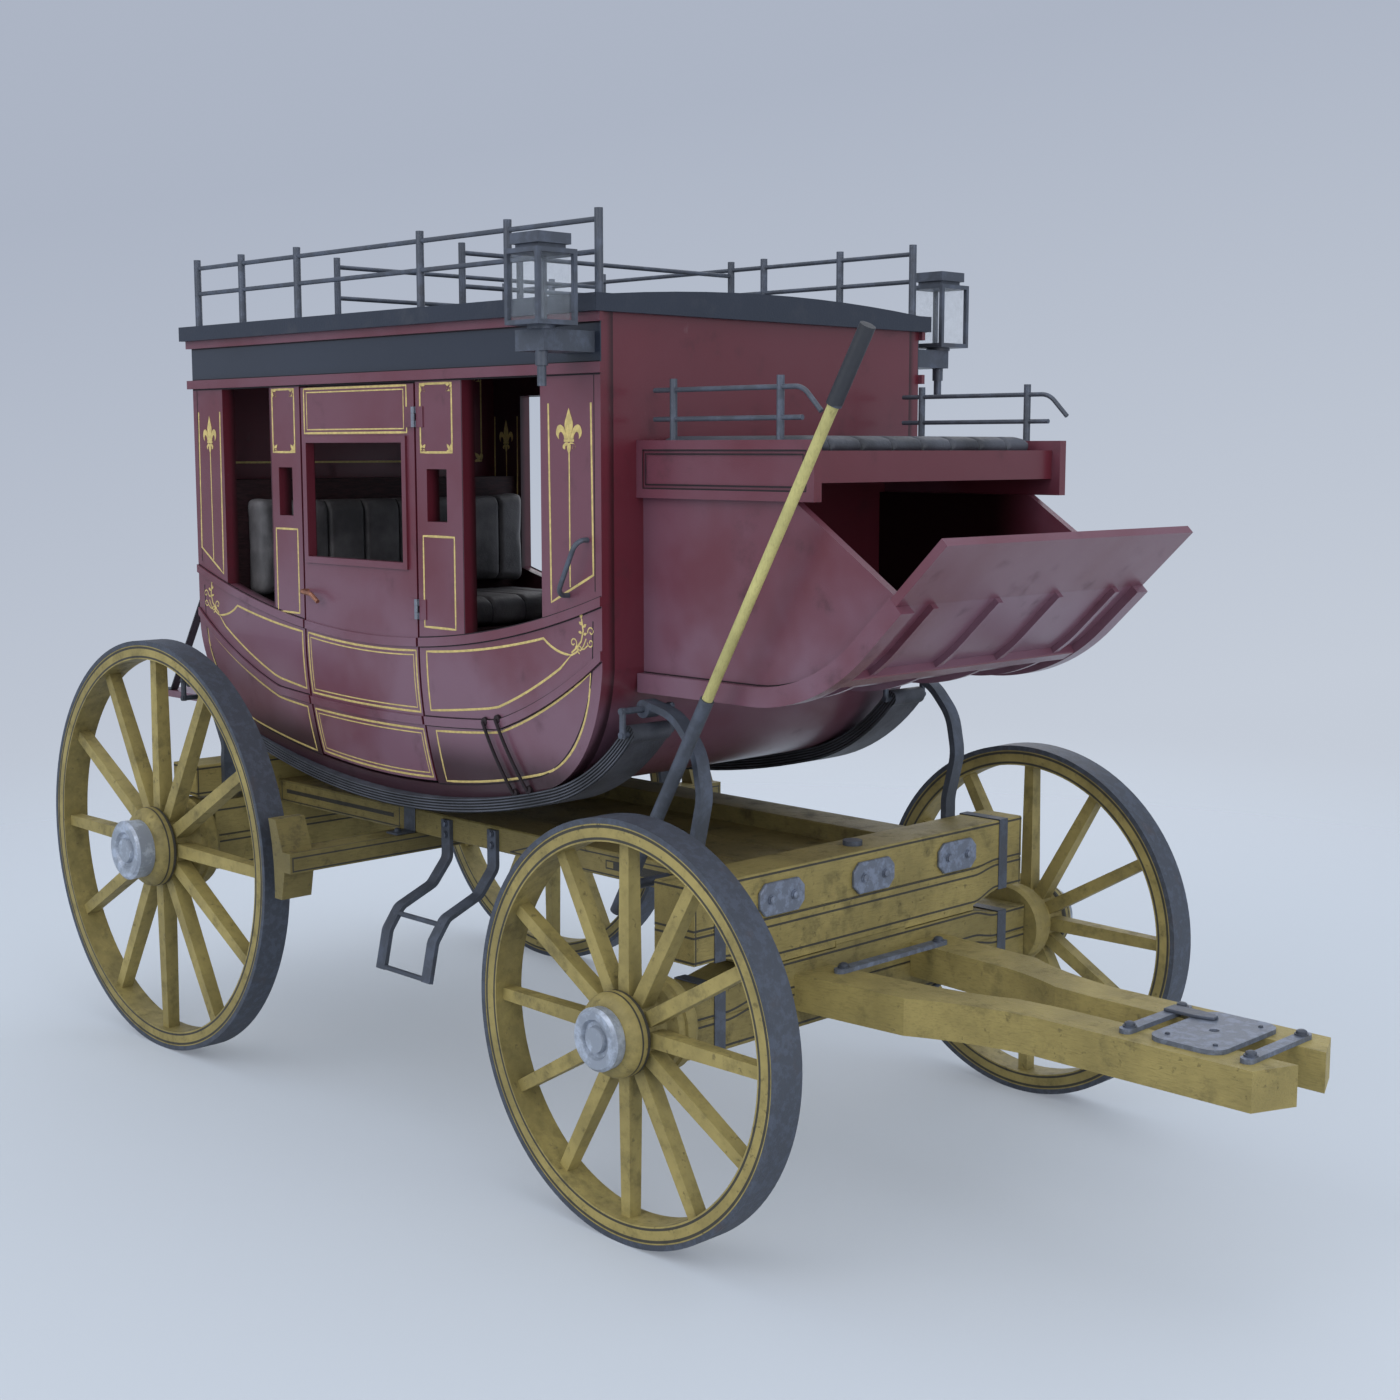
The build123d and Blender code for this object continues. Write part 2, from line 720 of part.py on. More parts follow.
def flank_lines(lift):
    """The cross section between the cabin's flanks, which turn under towards the belly, widened by a lift."""
    high_z, low_z = wall_top_z + wall_thickness, belly_z - wall_thickness
    for side in (-1, 1):
        top = (side * (side_outer_y + lift), turn_under_z)
        keel = (side * (side_outer_y + lift - keel_tuck), belly_z)
        Line((top[0], high_z), top)
        ThreePointArc(top, (side * (side_outer_y + lift - waist_tuck), waist_z), keel)
        Line(keel, (keel[0], low_z))
    Line((-side_outer_y - lift, high_z), (side_outer_y + lift, high_z))
    Line((keel_tuck - side_outer_y - lift, low_z), (side_outer_y + lift - keel_tuck, low_z))


flank_lifts = (
    # name, lift from the outer faces of the sides
    ("outer", 0.0),
    ("belt", belt_relief),
    ("door", -door_thickness),
    ("rebate", -door_thickness - door_gap),
    ("inner", -wall_thickness),
    ("fitted", -wall_thickness - seat_gap),
)
flanks = {}
for name, lift in flank_lifts:
    with BuildPart() as flank:
        with BuildSketch(cross_plane(cabin_rear - roof_overhang)):
            with BuildLine():
                flank_lines(lift)
            make_face()
        extrude(amount=cabin_length + 2 * roof_overhang)
    flanks[name] = flank.part


def window_lines(x_from, x_to):
    """The outline of a window that stands on the upper belt."""
    belt_line(upper_belt, x_from, x_to, 0)
    Polyline(
        (x_to, belt_height_at(upper_belt, x_to)),
        (x_to, window_top_z),
        (x_from, window_top_z),
        (x_from, belt_height_at(upper_belt, x_from)),
    )


def door_lines(inset):
    """The outline of a door or of its opening, whose sill follows the belly."""
    x_from = cabin_mid + door_span[0] + inset
    x_to = cabin_mid + door_span[1] - inset
    sill = sill_height + inset
    ThreePointArc(*[(x, belly_height(x) + sill) for x in (x_from, (x_from + x_to) / 2, x_to)])
    Polyline(
        (x_to, belly_height(x_to) + sill),
        (x_to, door_top_z - inset),
        (x_from, door_top_z - inset),
        (x_from, belly_height(x_from) + sill),
    )


sides = (("left", 1), ("right", -1))
door_rear_x = cabin_mid + door_span[0]
door_front_x = cabin_mid + door_span[1]
hinge_axis_x = door_front_x - door_gap / 2
hinge_axis_y = side_outer_y + hinge_standoff
knuckle = hinge_height / 3 - running_gap
leaf_reach = 2 * hinge_radius
window_mid_x = cabin_mid + (door_window[0] + door_window[1]) / 2
window_mid_z = (door_window_bottom_z + door_window_top_z) / 2
window_width = door_window[1] - door_window[0]
window_height = door_window_top_z - door_window_bottom_z

for name, side in sides:
    outer = side * side_outer_y
    # A side plane faces -Y, so extruding by this sign goes into the left wall and, negative, into the right one
    inward = side
    trim_plane_y = side * (side_outer_y + belt_relief)
    flank_depth = belt_relief + wall_thickness + keel_tuck

    with BuildPart() as rebate:
        with BuildSketch(side_plane(outer)):
            with BuildLine():
                door_lines(0)
            make_face()
        extrude(amount=inward * flank_depth)
        add(flanks["rebate"], mode=Mode.SUBTRACT)

    with BuildPart() as wall:
        with BuildSketch(side_plane(outer)):
            with BuildLine():
                side_lines()
            make_face()
        extrude(amount=inward * flank_depth)
        add(flanks["outer"], mode=Mode.INTERSECT)
        add(flanks["inner"], mode=Mode.SUBTRACT)
        with BuildSketch(side_plane(outer)):
            for x_from, x_to in (rear_window, front_window):
                with BuildLine():
                    window_lines(cabin_mid + x_from, cabin_mid + x_to)
                make_face()
            for x_from, x_to in post_slots:
                with Locations((cabin_mid + (x_from + x_to) / 2, (slot_bottom_z + slot_top_z) / 2)):
                    Rectangle(x_to - x_from, slot_top_z - slot_bottom_z)
            with BuildLine():
                door_lines(door_stop)
            make_face()
        extrude(amount=inward * flank_depth, mode=Mode.SUBTRACT)
        add(rebate.part, mode=Mode.SUBTRACT)
    save(wall.part, f"side_{name}")

    with BuildPart() as mouldings:
        for belt in (upper_belt, lower_belt):
            for x_from, x_to in ((cabin_rear, door_rear_x), (door_front_x + running_gap, cabin_front)):
                with BuildSketch(side_plane(trim_plane_y)):
                    with BuildLine():
                        belt_lines(belt, x_from, x_to)
                    make_face()
                extrude(amount=inward * flank_depth)
        add(flanks["belt"], mode=Mode.INTERSECT)
        add(flanks["outer"], mode=Mode.SUBTRACT)
        for low, high in cornices:
            with BuildSketch(side_plane(outer)):
                with Locations((cabin_mid, (low + high) / 2)):
                    Rectangle(cabin_length + 2 * cornice_relief, high - low)
            extrude(amount=-inward * cornice_relief)
    save(mouldings.part, f"mouldings_{name}")

    with BuildPart() as trim:
        with BuildSketch(side_plane(trim_plane_y)):
            for belt in (upper_belt, lower_belt):
                with BuildLine():
                    belt_lines(belt, door_rear_x + door_gap, door_front_x - door_gap - running_gap)
                make_face()
            with Locations((window_mid_x, window_mid_z)):
                Rectangle(window_width + 2 * door_frame_width, window_height + 2 * door_frame_width)
        extrude(amount=inward * flank_depth)
        add(flanks["belt"], mode=Mode.INTERSECT)
        add(flanks["door"], mode=Mode.SUBTRACT)

    with BuildPart() as door:
        with BuildSketch(side_plane(outer)):
            with BuildLine():
                door_lines(door_gap)
            make_face()
        extrude(amount=inward * flank_depth)
        add(flanks["outer"], mode=Mode.INTERSECT)
        add(flanks["door"], mode=Mode.SUBTRACT)
        add(trim.part)
        with Locations((window_mid_x, outer, window_mid_z)):
            Box(window_width, 4 * door_thickness, window_height, mode=Mode.SUBTRACT)
    save(door.part, f"door_{name}")

    handle_x = door_rear_x + handle_inset
    handle_y = outer + side * handle_standoff
    with BuildPart() as handle:
        with BuildLine():
            FilletPolyline(
                (handle_x, outer, handle_z),
                (handle_x, handle_y, handle_z),
                (handle_x + handle_length * 0.6, handle_y, handle_z - handle_length * 0.06),
                (handle_x + handle_length, handle_y, handle_z - handle_length * 0.29),
                radius=12,
            )
        with BuildSketch(Plane(origin=(handle_x, outer, handle_z), x_dir=(1, 0, 0), z_dir=(0, side, 0))):
            Circle(handle_radius)
        sweep()
    save(handle.part, f"door_handle_{name}")

    with BuildPart() as leaves:
        for hinge_z in hinge_centres_z:
            with Locations((hinge_axis_x - leaf_reach, outer + side * hinge_leaf / 2, hinge_z)):
                Box(hinge_leaf_length, hinge_leaf, hinge_height, align=(Align.MAX, Align.CENTER, Align.CENTER))
                Box(leaf_reach - running_gap, hinge_leaf, knuckle, align=(Align.MIN, Align.CENTER, Align.CENTER))
            with Locations((hinge_axis_x, side * hinge_axis_y, hinge_z)):
                Cylinder(hinge_radius, knuckle)
                Cylinder(hinge_pin_radius + arm_clearance, hinge_height, mode=Mode.SUBTRACT)
    save(leaves.part, f"hinge_leaves_{name}")

# The other half of each hinge stands on the post ahead of the door and holds the pin
with BuildPart() as hinge_posts:
    for name, side in sides:
        leaf_y = side * (side_outer_y + hinge_leaf / 2)
        for hinge_z in hinge_centres_z:
            with Locations((hinge_axis_x + leaf_reach, leaf_y, hinge_z)):
                Box(hinge_leaf_length, hinge_leaf, hinge_height, align=(Align.MIN, Align.CENTER, Align.CENTER))
            for step in (-1, 1):
                knuckle_z = hinge_z + step * hinge_height / 3
                with Locations((hinge_axis_x + leaf_reach, leaf_y, knuckle_z)):
                    Box(leaf_reach, hinge_leaf, knuckle, align=(Align.MAX, Align.CENTER, Align.CENTER))
                with Locations((hinge_axis_x, side * hinge_axis_y, knuckle_z)):
                    Cylinder(hinge_radius, knuckle)
            with Locations((hinge_axis_x, side * hinge_axis_y, hinge_z)):
                Cylinder(hinge_pin_radius, hinge_height)
save(hinge_posts.part, "hinge_posts")

with BuildPart() as grab_handles:
    for name, side in sides:
        (top_x, top_z), (foot_x, foot_z) = grab_handle
        outer = side * side_outer_y
        out = side * (side_outer_y + grab_standoff)
        with BuildLine():
            FilletPolyline(
                (cabin_front + top_x, outer, top_z),
                (cabin_front + top_x, out, top_z),
                (cabin_front + foot_x, out, foot_z),
                (cabin_front + foot_x, outer, foot_z),
                radius=grab_bend,
            )
        with BuildSketch(Plane(origin=(cabin_front + top_x, outer, top_z), x_dir=(1, 0, 0), z_dir=(0, side, 0))):
            Circle(grab_radius)
        sweep()
save(grab_handles.part, "grab_handles")

# End walls, hull and floor
end_walls = (("front_wall", cabin_front, -1), ("rear_wall", cabin_rear, 1))
for name, outer_x, inward in end_walls:
    with BuildPart() as end_wall:
        with Locations((outer_x + inward * end_wall_thickness / 2, 0, (corner_z + wall_top_z) / 2)):
            Box(end_wall_thickness, 2 * wall_inner_y, wall_top_z - corner_z)
    save(end_wall.part, name)

with BuildPart() as hull:
    with BuildSketch(side_plane(-wall_inner_y)):
        with BuildLine():
            side_lines()
        make_face()
        with BuildLine():
            cavity_lines(0)
        make_face(mode=Mode.SUBTRACT)
    extrude(amount=-2 * wall_inner_y)
    split(bisect_by=Plane.XY.offset(corner_z), keep=Keep.BOTTOM)
    add(flanks["inner"], mode=Mode.INTERSECT)
save(hull.part, "hull")

with BuildPart() as cabin_floor:
    with Locations((cabin_mid, 0, floor_top_z - floor_thickness / 2)):
        Box(2 * floor_half_length, 2 * (wall_inner_y - seat_gap), floor_thickness)
    with BuildSketch(side_plane(-wall_inner_y)):
        with BuildLine():
            cavity_lines(seat_gap)
        make_face()
    extrude(amount=-2 * wall_inner_y, mode=Mode.INTERSECT)
    add(flanks["fitted"], mode=Mode.INTERSECT)
save(cabin_floor.part, "cabin_floor")

# Roof with a shallow crown between two flat edges
with BuildPart() as roof:
    with BuildSketch(cross_plane(cabin_rear - roof_overhang)):
        with BuildLine():
            Polyline(
                (-crown_half_width, roof_edge_z),
                (-roof_half_width, roof_edge_z),
                (-roof_half_width, wall_top_z),
                (roof_half_width, wall_top_z),
                (roof_half_width, roof_edge_z),
                (crown_half_width, roof_edge_z),
            )
            ThreePointArc(
                (crown_half_width, roof_edge_z), (0, roof_edge_z + roof_crown), (-crown_half_width, roof_edge_z)
            )
        make_face()
    extrude(amount=cabin_length + 2 * roof_overhang)
save(roof.part, "roof")


def roof_height(y):
    """The height of the roof's crown at a distance y from its middle."""
    bend = (crown_half_width**2 + roof_crown**2) / (2 * roof_crown)
    return roof_edge_z + roof_crown - bend + math.sqrt(bend**2 - y**2)


rail_rows = (
    # side, X of its posts from the cabin's front
    (-1, (-5.0, -380.0, -780.0, -1418.0, -1740.0, -2013.0)),
    (1, (-26.0, -324.0, -658.0, -810.0, -1457.0, -1740.0, -2013.0)),
)
cross_rows = (
    # X from the cabin's front, Y of its posts
    (-810.0, (-cross_rail_y, -cross_mid_y)),
    (-1457.0, (-cross_rail_y,)),
)
rail_top_z = roof_edge_z + rail_height
with BuildPart() as roof_rail:
    for side, posts in rail_rows:
        for post_x in posts:
            with Locations((cabin_front + post_x, side * rail_y, roof_edge_z)):
                Cylinder(rail_post_radius, rail_height, align=(Align.CENTER, Align.CENTER, Align.MIN))
        for drop in rails_below_top:
            with Locations((cabin_front + (posts[0] + posts[-1]) / 2, side * rail_y, rail_top_z - drop)):
                Cylinder(rail_radius, posts[0] - posts[-1], rotation=(0, 90, 0))
    for row_x, posts in cross_rows:
        for post_y in posts:
            foot_z = roof_height(abs(post_y) - cross_post_radius)
            height = rail_top_z - cross_post_drop - foot_z
            with Locations((cabin_front + row_x, post_y, foot_z)):
                Cylinder(cross_post_radius, height, align=(Align.CENTER, Align.CENTER, Align.MIN))
        for drop in cross_rails_below_top:
            with Locations((cabin_front + row_x, (rail_y - cross_rail_y) / 2, rail_top_z - drop)):
                Cylinder(rail_radius, rail_y + cross_rail_y, rotation=(90, 0, 0))
save(roof_rail.part, "roof_rail")

# Benches: a boxed seat against each end wall, with a back and a ledge
bench_half = cabin_length / 2 - end_wall_thickness - seat_gap
bench_width = 2 * (wall_inner_y - seat_gap)
with BuildPart() as benches:
    for end in (-1, 1):
        wall_x = cabin_mid + end * bench_half
        riser_x = cabin_mid + end * riser_offset
        back_x = wall_x - end * seat_back_depth
        with Locations(((wall_x + riser_x) / 2, 0, seat_board_top_z - seat_board_thickness / 2)):
            Box(abs(wall_x - riser_x), bench_width, seat_board_thickness)
        with Locations((riser_x + end * seat_board_thickness / 2, 0, (seat_board_top_z + floor_top_z) / 2)):
            Box(seat_board_thickness, bench_width, seat_board_top_z - floor_top_z)
        with Locations((back_x + end * seat_back_board / 2, 0, (seat_board_top_z + seat_back_top_z) / 2)):
            Box(seat_back_board, bench_width, seat_back_top_z - seat_board_top_z)
        with Locations(((wall_x + back_x) / 2, 0, seat_back_top_z + seat_back_board / 2)):
            Box(abs(wall_x - back_x), bench_width, seat_back_board)
    with BuildSketch(side_plane(-wall_inner_y)):
        with BuildLine():
            cavity_lines(seat_gap)
        make_face()
    extrude(amount=-2 * wall_inner_y, mode=Mode.INTERSECT)
    add(flanks["fitted"], mode=Mode.INTERSECT)
save(benches.part, "benches")

with BuildPart() as cushions:
    for end in (-1, 1):
        back_x = cabin_mid + end * (bench_half - seat_back_depth - seat_gap)
        nose_x = cabin_mid + end * (riser_offset - seat_nosing)
        width = 2 * (wall_inner_y - cushion_side_gap)
        low_z = seat_board_top_z + seat_cushion_thickness + 2 * seat_gap
        high_z = seat_back_top_z - back_cushion_drop
        with Locations(((back_x + nose_x) / 2, 0, seat_board_top_z + seat_gap + seat_cushion_thickness / 2)):
            Box(abs(back_x - nose_x), width, seat_cushion_thickness)
        with Locations((back_x - end * back_cushion_thickness / 2, 0, (low_z + high_z) / 2)):
            Box(back_cushion_thickness, width, high_z - low_z)
save(cushions.part, "cushions")


# Front boot: its layers all follow the bottom's line at some depth above it
def boot_point(angle, depth):
    """A point of the boot's bend at an angle and a depth above its bottom line."""
    reach = boot_bend_radius - depth
    turn = math.radians(angle)
    centre_z = boot_bottom_z + boot_bend_radius
    return (front_axle_x + boot_flat_end + reach * math.sin(turn), centre_z - reach * math.cos(turn))


rise_along = (math.cos(math.radians(boot_rise_angle)), math.sin(math.radians(boot_rise_angle)))


def boot_end(depth):
    """The end of the boot's rise at a depth."""
    x, z = boot_point(boot_rise_angle, depth)
    return (x + boot_rise * rise_along[0], z + boot_rise * rise_along[1])


def boot_line(depth, x_from):
    """The bottom's line at a depth, from an X to the end of the rise."""
    Line((x_from, boot_bottom_z + depth), boot_point(0, depth))
    ThreePointArc(*[boot_point(share * boot_rise_angle, depth) for share in (0, 0.5, 1)])
    Line(boot_point(boot_rise_angle, depth), boot_end(depth))


def layer_lines(low, high, x_from):
    """The outline of a layer of the boot's bottom between two depths."""
    boot_line(low, x_from)
    Line(boot_end(low), boot_end(high))
    boot_line(high, x_from)
    Line((x_from, boot_bottom_z + high), (x_from, boot_bottom_z + low))


rail_width = seat_box_half_width - boot_half_width + boot_board
with BuildPart() as front_boot:
    for side in (-1, 1):
        with BuildSketch(side_plane(side * seat_box_half_width)):
            with BuildLine():
                layer_lines(0, boot_rail_depth, cabin_front)
            make_face()
        extrude(amount=side * rail_width)
        with BuildSketch(side_plane(side * boot_half_width)):
            with BuildLine():
                boot_line(boot_rail_depth / 2, cabin_front)
                Polyline(
                    boot_end(boot_rail_depth / 2),
                    boot_end(boot_rail_depth),
                    (front_axle_x + boot_mouth, seat_box_bottom_z),
                    (cabin_front, seat_box_bottom_z),
                    (cabin_front, boot_bottom_z + boot_rail_depth / 2),
                )
            make_face()
        extrude(amount=side * boot_board)
    with BuildSketch(side_plane(-boot_half_width)):
        with BuildLine():
            layer_lines(boot_floor_lift, boot_floor_lift + boot_floor, cabin_front)
        make_face()
    extrude(amount=-2 * boot_half_width)
    for rib_y in boot_rib_ys:
        with BuildSketch(side_plane(rib_y + boot_rib_width / 2)):
            with BuildLine():
                layer_lines(boot_rib_lift, boot_floor_lift + boot_floor / 2, front_axle_x)
            make_face()
        extrude(amount=boot_rib_width)
save(front_boot.part, "front_boot")

# The footboard starts on the end of the boot's floor and carries its line on
root_x, root_z = boot_end(boot_floor_lift + footboard_thickness / 2)
footboard_plane = Plane(
    origin=(root_x + seat_gap * rise_along[0], 0, root_z + seat_gap * rise_along[1]),
    x_dir=(rise_along[0], 0, rise_along[1]),
    z_dir=(-rise_along[1], 0, rise_along[0]),
)
with BuildPart() as footboard:
    with BuildSketch(footboard_plane):
        with Locations((footboard_length / 2, 0)):
            Rectangle(footboard_length, 2 * seat_box_half_width)
    extrude(amount=footboard_thickness / 2, both=True)
save(footboard.part, "footboard")

# Driver's seat: two end boards with a sunk panel, the seat and its front board
seat_box_length = seat_box_front + cabin_setback
seat_box_mid_x = cabin_front + seat_box_length / 2
seat_box_mid_z = seat_box_bottom_z + seat_box_depth / 2
seat_length = seat_box_length - 2 * seat_box_board
seat_width = 2 * (seat_box_half_width - seat_box_board)
rail_post_y = seat_box_half_width - seat_box_board / 2
with BuildPart() as driver_seat:
    for side in (-1, 1):
        with Locations((seat_box_mid_x, side * rail_post_y, seat_box_mid_z)):
            Box(seat_box_length, seat_box_board, seat_box_depth)
        with Locations((seat_box_mid_x, side * seat_box_half_width, seat_box_mid_z)):
            panel_length = seat_box_length - 2 * seat_panel_border
            panel_depth = seat_box_depth - 2 * seat_panel_border
            Box(panel_length, 2 * seat_panel_recess, panel_depth, mode=Mode.SUBTRACT)
    with Locations((cabin_front, 0, driver_seat_top_z)):
        Box(seat_length, seat_width, driver_seat_board, align=(Align.MIN, Align.CENTER, Align.MAX))
    with Locations((cabin_front + seat_length, 0, driver_seat_top_z + driver_front_rise)):
        Box(seat_box_board, seat_width, driver_front_depth, align=(Align.MIN, Align.CENTER, Align.MAX))
save(driver_seat.part, "driver_seat")

with BuildPart() as driver_cushion:
    with Locations((cabin_front + seat_length / 2, 0, driver_seat_top_z + seat_gap)):
        Box(seat_length - 4, seat_width - 12, driver_cushion_rise, align=(Align.CENTER, Align.CENTER, Align.MIN))
save(driver_cushion.part, "driver_cushion")

with BuildPart() as seat_rails:
    for side in (-1, 1):
        y = side * rail_post_y
        for post_x in seat_posts:
            with Locations((front_axle_x + post_x, y, seat_box_top_z)):
                Cylinder(seat_post_radius, seat_post_height, align=(Align.CENTER, Align.CENTER, Align.MIN))
        rail_from, rail_to = (front_axle_x + x for x in seat_rail_span)
        low_z, high_z = (seat_box_top_z + height for height in seat_rail_heights)
        with Locations(((rail_from + rail_to) / 2, y, low_z)):
            Cylinder(seat_rail_radius, rail_to - rail_from, rotation=(0, 90, 0))
        with BuildLine():
            nose = (rail_to + seat_rail_nose, y, high_z - seat_rail_nose)
            FilletPolyline((rail_from, y, high_z), (rail_to, y, high_z), nose, radius=seat_rail_nose)
        with BuildSketch(Plane(origin=(rail_from, y, high_z), z_dir=(1, 0, 0))):
            Circle(seat_rail_radius)
        sweep()
save(seat_rails.part, "seat_rails")


# Straps: stacks of leather that follow the belly and then leave it on their end arcs
def strap_point(end, angle, depth):
    """A point of a strap's end arc at an angle and a depth below the belly's line."""
    direction, radius, last_angle = end
    root = math.radians(belly_angle)
    turn = math.radians(angle)
    centre_x = cabin_mid + direction * (belly_radius - radius) * math.sin(root)
    centre_z = belly_z + belly_radius - (belly_radius - radius) * math.cos(root)
    return (
        centre_x + direction * (radius + depth) * math.sin(turn),
        centre_z - (radius + depth) * math.cos(turn),
    )


def strap_end_line(end, depth):
    """A strap's end arc at a depth."""
    angles = (belly_angle, (belly_angle + end[2]) / 2, end[2])
    ThreePointArc(*[strap_point(end, angle, depth) for angle in angles])


def strap_lines(top, bottom):
    """The outline of a strap, or of one of its layers, between two depths."""
    for depth in (top, bottom):
        roots = [strap_point(end, belly_angle, depth) for end in strap_ends]
        ThreePointArc(roots[0], (cabin_mid, belly_z - depth), roots[1])
        for end in strap_ends:
            strap_end_line(end, depth)
    for end in strap_ends:
        Line(strap_point(end, end[2], top), strap_point(end, end[2], bottom))


strap_eyes = [strap_point(end, end[2], strap_gap + strap_thickness / 2) for end in strap_ends]
with BuildPart() as thoroughbraces:
    for side in (-1, 1):
        with BuildSketch(side_plane(side * (strap_outer_y - strap_inset))):
            with BuildLine():
                strap_lines(strap_gap, strap_gap + strap_thickness)
            make_face()
        extrude(amount=side * (strap_width - 2 * strap_inset))
        for layer in range(strap_layers):
            top = strap_gap + layer * strap_layer
            with BuildSketch(side_plane(side * strap_outer_y)):
                with BuildLine():
                    strap_lines(top, top + strap_layer - strap_layer_gap)
                make_face()
            extrude(amount=side * strap_width)
        for eye_x, eye_z in strap_eyes:
            with Locations((eye_x, side * strap_mid_y, eye_z)):
                Cylinder(strap_eye_radius, strap_width, rotation=(90, 0, 0))
                Cylinder(ring_radius + ring_clearance, 2 * strap_width, rotation=(90, 0, 0), mode=Mode.SUBTRACT)
save(thoroughbraces.part, "thoroughbraces")

# Standards: the curved irons on the bolsters, each ending in an eye that a square ring joins to the strap
standards_table = (
    # X of the foot's middle, distance out, height of the foot, bends, their radius, strap eye, rise of the bar's eye
    (
        frame_front - standard_thickness / 2,
        front_standard_y,
        front_standard_foot_z,
        front_standard_bends,
        front_standard_bend,
        strap_eyes[0],
        front_eye_lift,
    ),
    (
        frame_rear + standard_thickness / 2,
        rear_standard_y,
        rear_standard_foot_z,
        rear_standard_bends,
        rear_standard_bend,
        strap_eyes[1],
        rear_eye_lift,
    ),
)
with BuildPart() as standards:
    for side in (-1, 1):
        for foot_x, y, foot_z, bends, bend_radius, (eye_x, eye_z), lift in standards_table:
            bar_end_z = eye_z + lift + standard_eye_radius - standard_thickness / 2
            with BuildLine():
                points = [(foot_x + reach, side * y, z) for reach, z in ((0.0, foot_z), *bends)]
                FilletPolyline(*points, (eye_x, side * y, bar_end_z), radius=bend_radius)
            with BuildSketch(Plane(origin=points[0], x_dir=(0, 1, 0), z_dir=(0, 0, 1))):
                Rectangle(standard_width, standard_thickness)
            sweep()
            with Locations((eye_x, side * y, eye_z + lift)):
                Cylinder(standard_eye_radius, standard_width, rotation=(90, 0, 0))
                bore = ring_radius + ring_clearance
                Cylinder(bore, 2 * standard_width, rotation=(90, 0, 0), mode=Mode.SUBTRACT)
save(standards.part, "standards")

with BuildPart() as strap_rings:
    for side in (-1, 1):
        for foot_x, y, foot_z, bends, bend_radius, (eye_x, eye_z), lift in standards_table:
            inner_y = strap_inner_y - 2 * ring_radius
            outer_y = max(strap_outer_y, y + standard_width / 2) + 2 * ring_radius
            for z in (eye_z, eye_z + lift):
                with Locations((eye_x, side * (inner_y + outer_y) / 2, z)):
                    Cylinder(ring_radius, outer_y - inner_y + 2 * ring_radius, rotation=(90, 0, 0))
            for end_y in (inner_y, outer_y):
                with Locations((eye_x, side * end_y, eye_z + lift / 2)):
                    Cylinder(ring_radius, lift + 2 * ring_radius)
save(strap_rings.part, "strap_rings")

# Steps: two bent legs under each door with rungs between them
leg_y = perch_outer_y + step_leg_thickness / 2
with BuildPart() as steps:
    for side in (-1, 1):
        for leg_x in step_legs_x:
            route = [(cabin_mid + leg_x, side * (leg_y + out), perch_top_z - drop) for out, drop in step_route]
            with BuildLine():
                FilletPolyline(*route, radius=step_bend)
            with BuildSketch(Plane(origin=route[0], x_dir=(1, 0, 0), z_dir=(0, 0, -1))):
                Rectangle(step_leg_width, step_leg_thickness)
            sweep()
        for out, drop in rungs:
            with Locations((cabin_mid + sum(step_legs_x) / 2, side * (leg_y + out), perch_top_z - drop)):
                Cylinder(rung_radius, step_legs_x[1] - step_legs_x[0], rotation=(0, 90, 0))
save(steps.part, "steps")

# Brake: a beam under the perches with a shoe ahead of each rear wheel
beam_rear_x = front_axle_x + brake_beam_rear
beam_top_z = perch_bottom_z - seat_gap
with BuildPart() as brake_gear:
    with Locations((beam_rear_x, 0, beam_top_z - brake_beam_depth / 2)):
        beam_length = 2 * brake_beam_half_length
        Box(brake_beam_width, beam_length, brake_beam_depth, align=(Align.MIN, Align.CENTER, Align.CENTER))
    for side in (-1, 1):
        with BuildSketch(side_plane(side * brake_beam_half_length)):
            with BuildLine():
                front = [(front_axle_x + x, z) for x, z in brake_shoe_front]
                rear_x = rear_axle_x + rear_wheel_radius - brake_shoe_gap
                Polyline(*front, (rear_x, front[-1][1]), (rear_x, front[0][1]), close=True)
            make_face()
        extrude(amount=side * brake_shoe_width)
        with Locations((rear_axle_x, side * tyre_mid_y, rear_wheel_radius)):
            cut_radius = rear_wheel_radius + brake_shoe_gap
            Cylinder(cut_radius, 3 * brake_shoe_width, rotation=(90, 0, 0), mode=Mode.SUBTRACT)
save(brake_gear.part, "brake_gear")

# The driver's brake lever on the right: an iron foot on a pivot, a wooden shaft and a grip
lever_dx = lever_tip[0] - lever_foot[0]
lever_dz = lever_tip[1] - lever_foot[1]
lever_length = math.hypot(lever_dx, lever_dz)


def along_lever(point):
    """How far along the lever a point lies."""
    return ((point[0] - lever_foot[0]) * lever_dx + (point[1] - lever_foot[1]) * lever_dz) / lever_length


lever_plane = Plane(
    origin=(front_axle_x + lever_foot[0], -lever_y, lever_foot[1]), x_dir=(0, 1, 0), z_dir=(lever_dx, 0, lever_dz)
)
lever_pivot_x = front_axle_x + lever_foot[0] + (lever_pivot_z - lever_foot[1]) * lever_dx / lever_dz
lever_ends = (
    # from, to, radius
    (0.0, along_lever(lever_ferrule), lever_iron_radius),
    (along_lever(lever_grip), lever_length, lever_grip_radius),
)
with BuildPart() as brake_lever:
    for start, end, radius in lever_ends:
        with BuildSketch(lever_plane.offset(start)):
            Circle(radius)
        extrude(amount=end - start)
    with Locations((lever_pivot_x, -(lever_y + perch_outer_y) / 2, lever_pivot_z)):
        Cylinder(lever_pivot_radius, lever_y - perch_outer_y, rotation=(90, 0, 0))
save(brake_lever.part, "brake_lever")

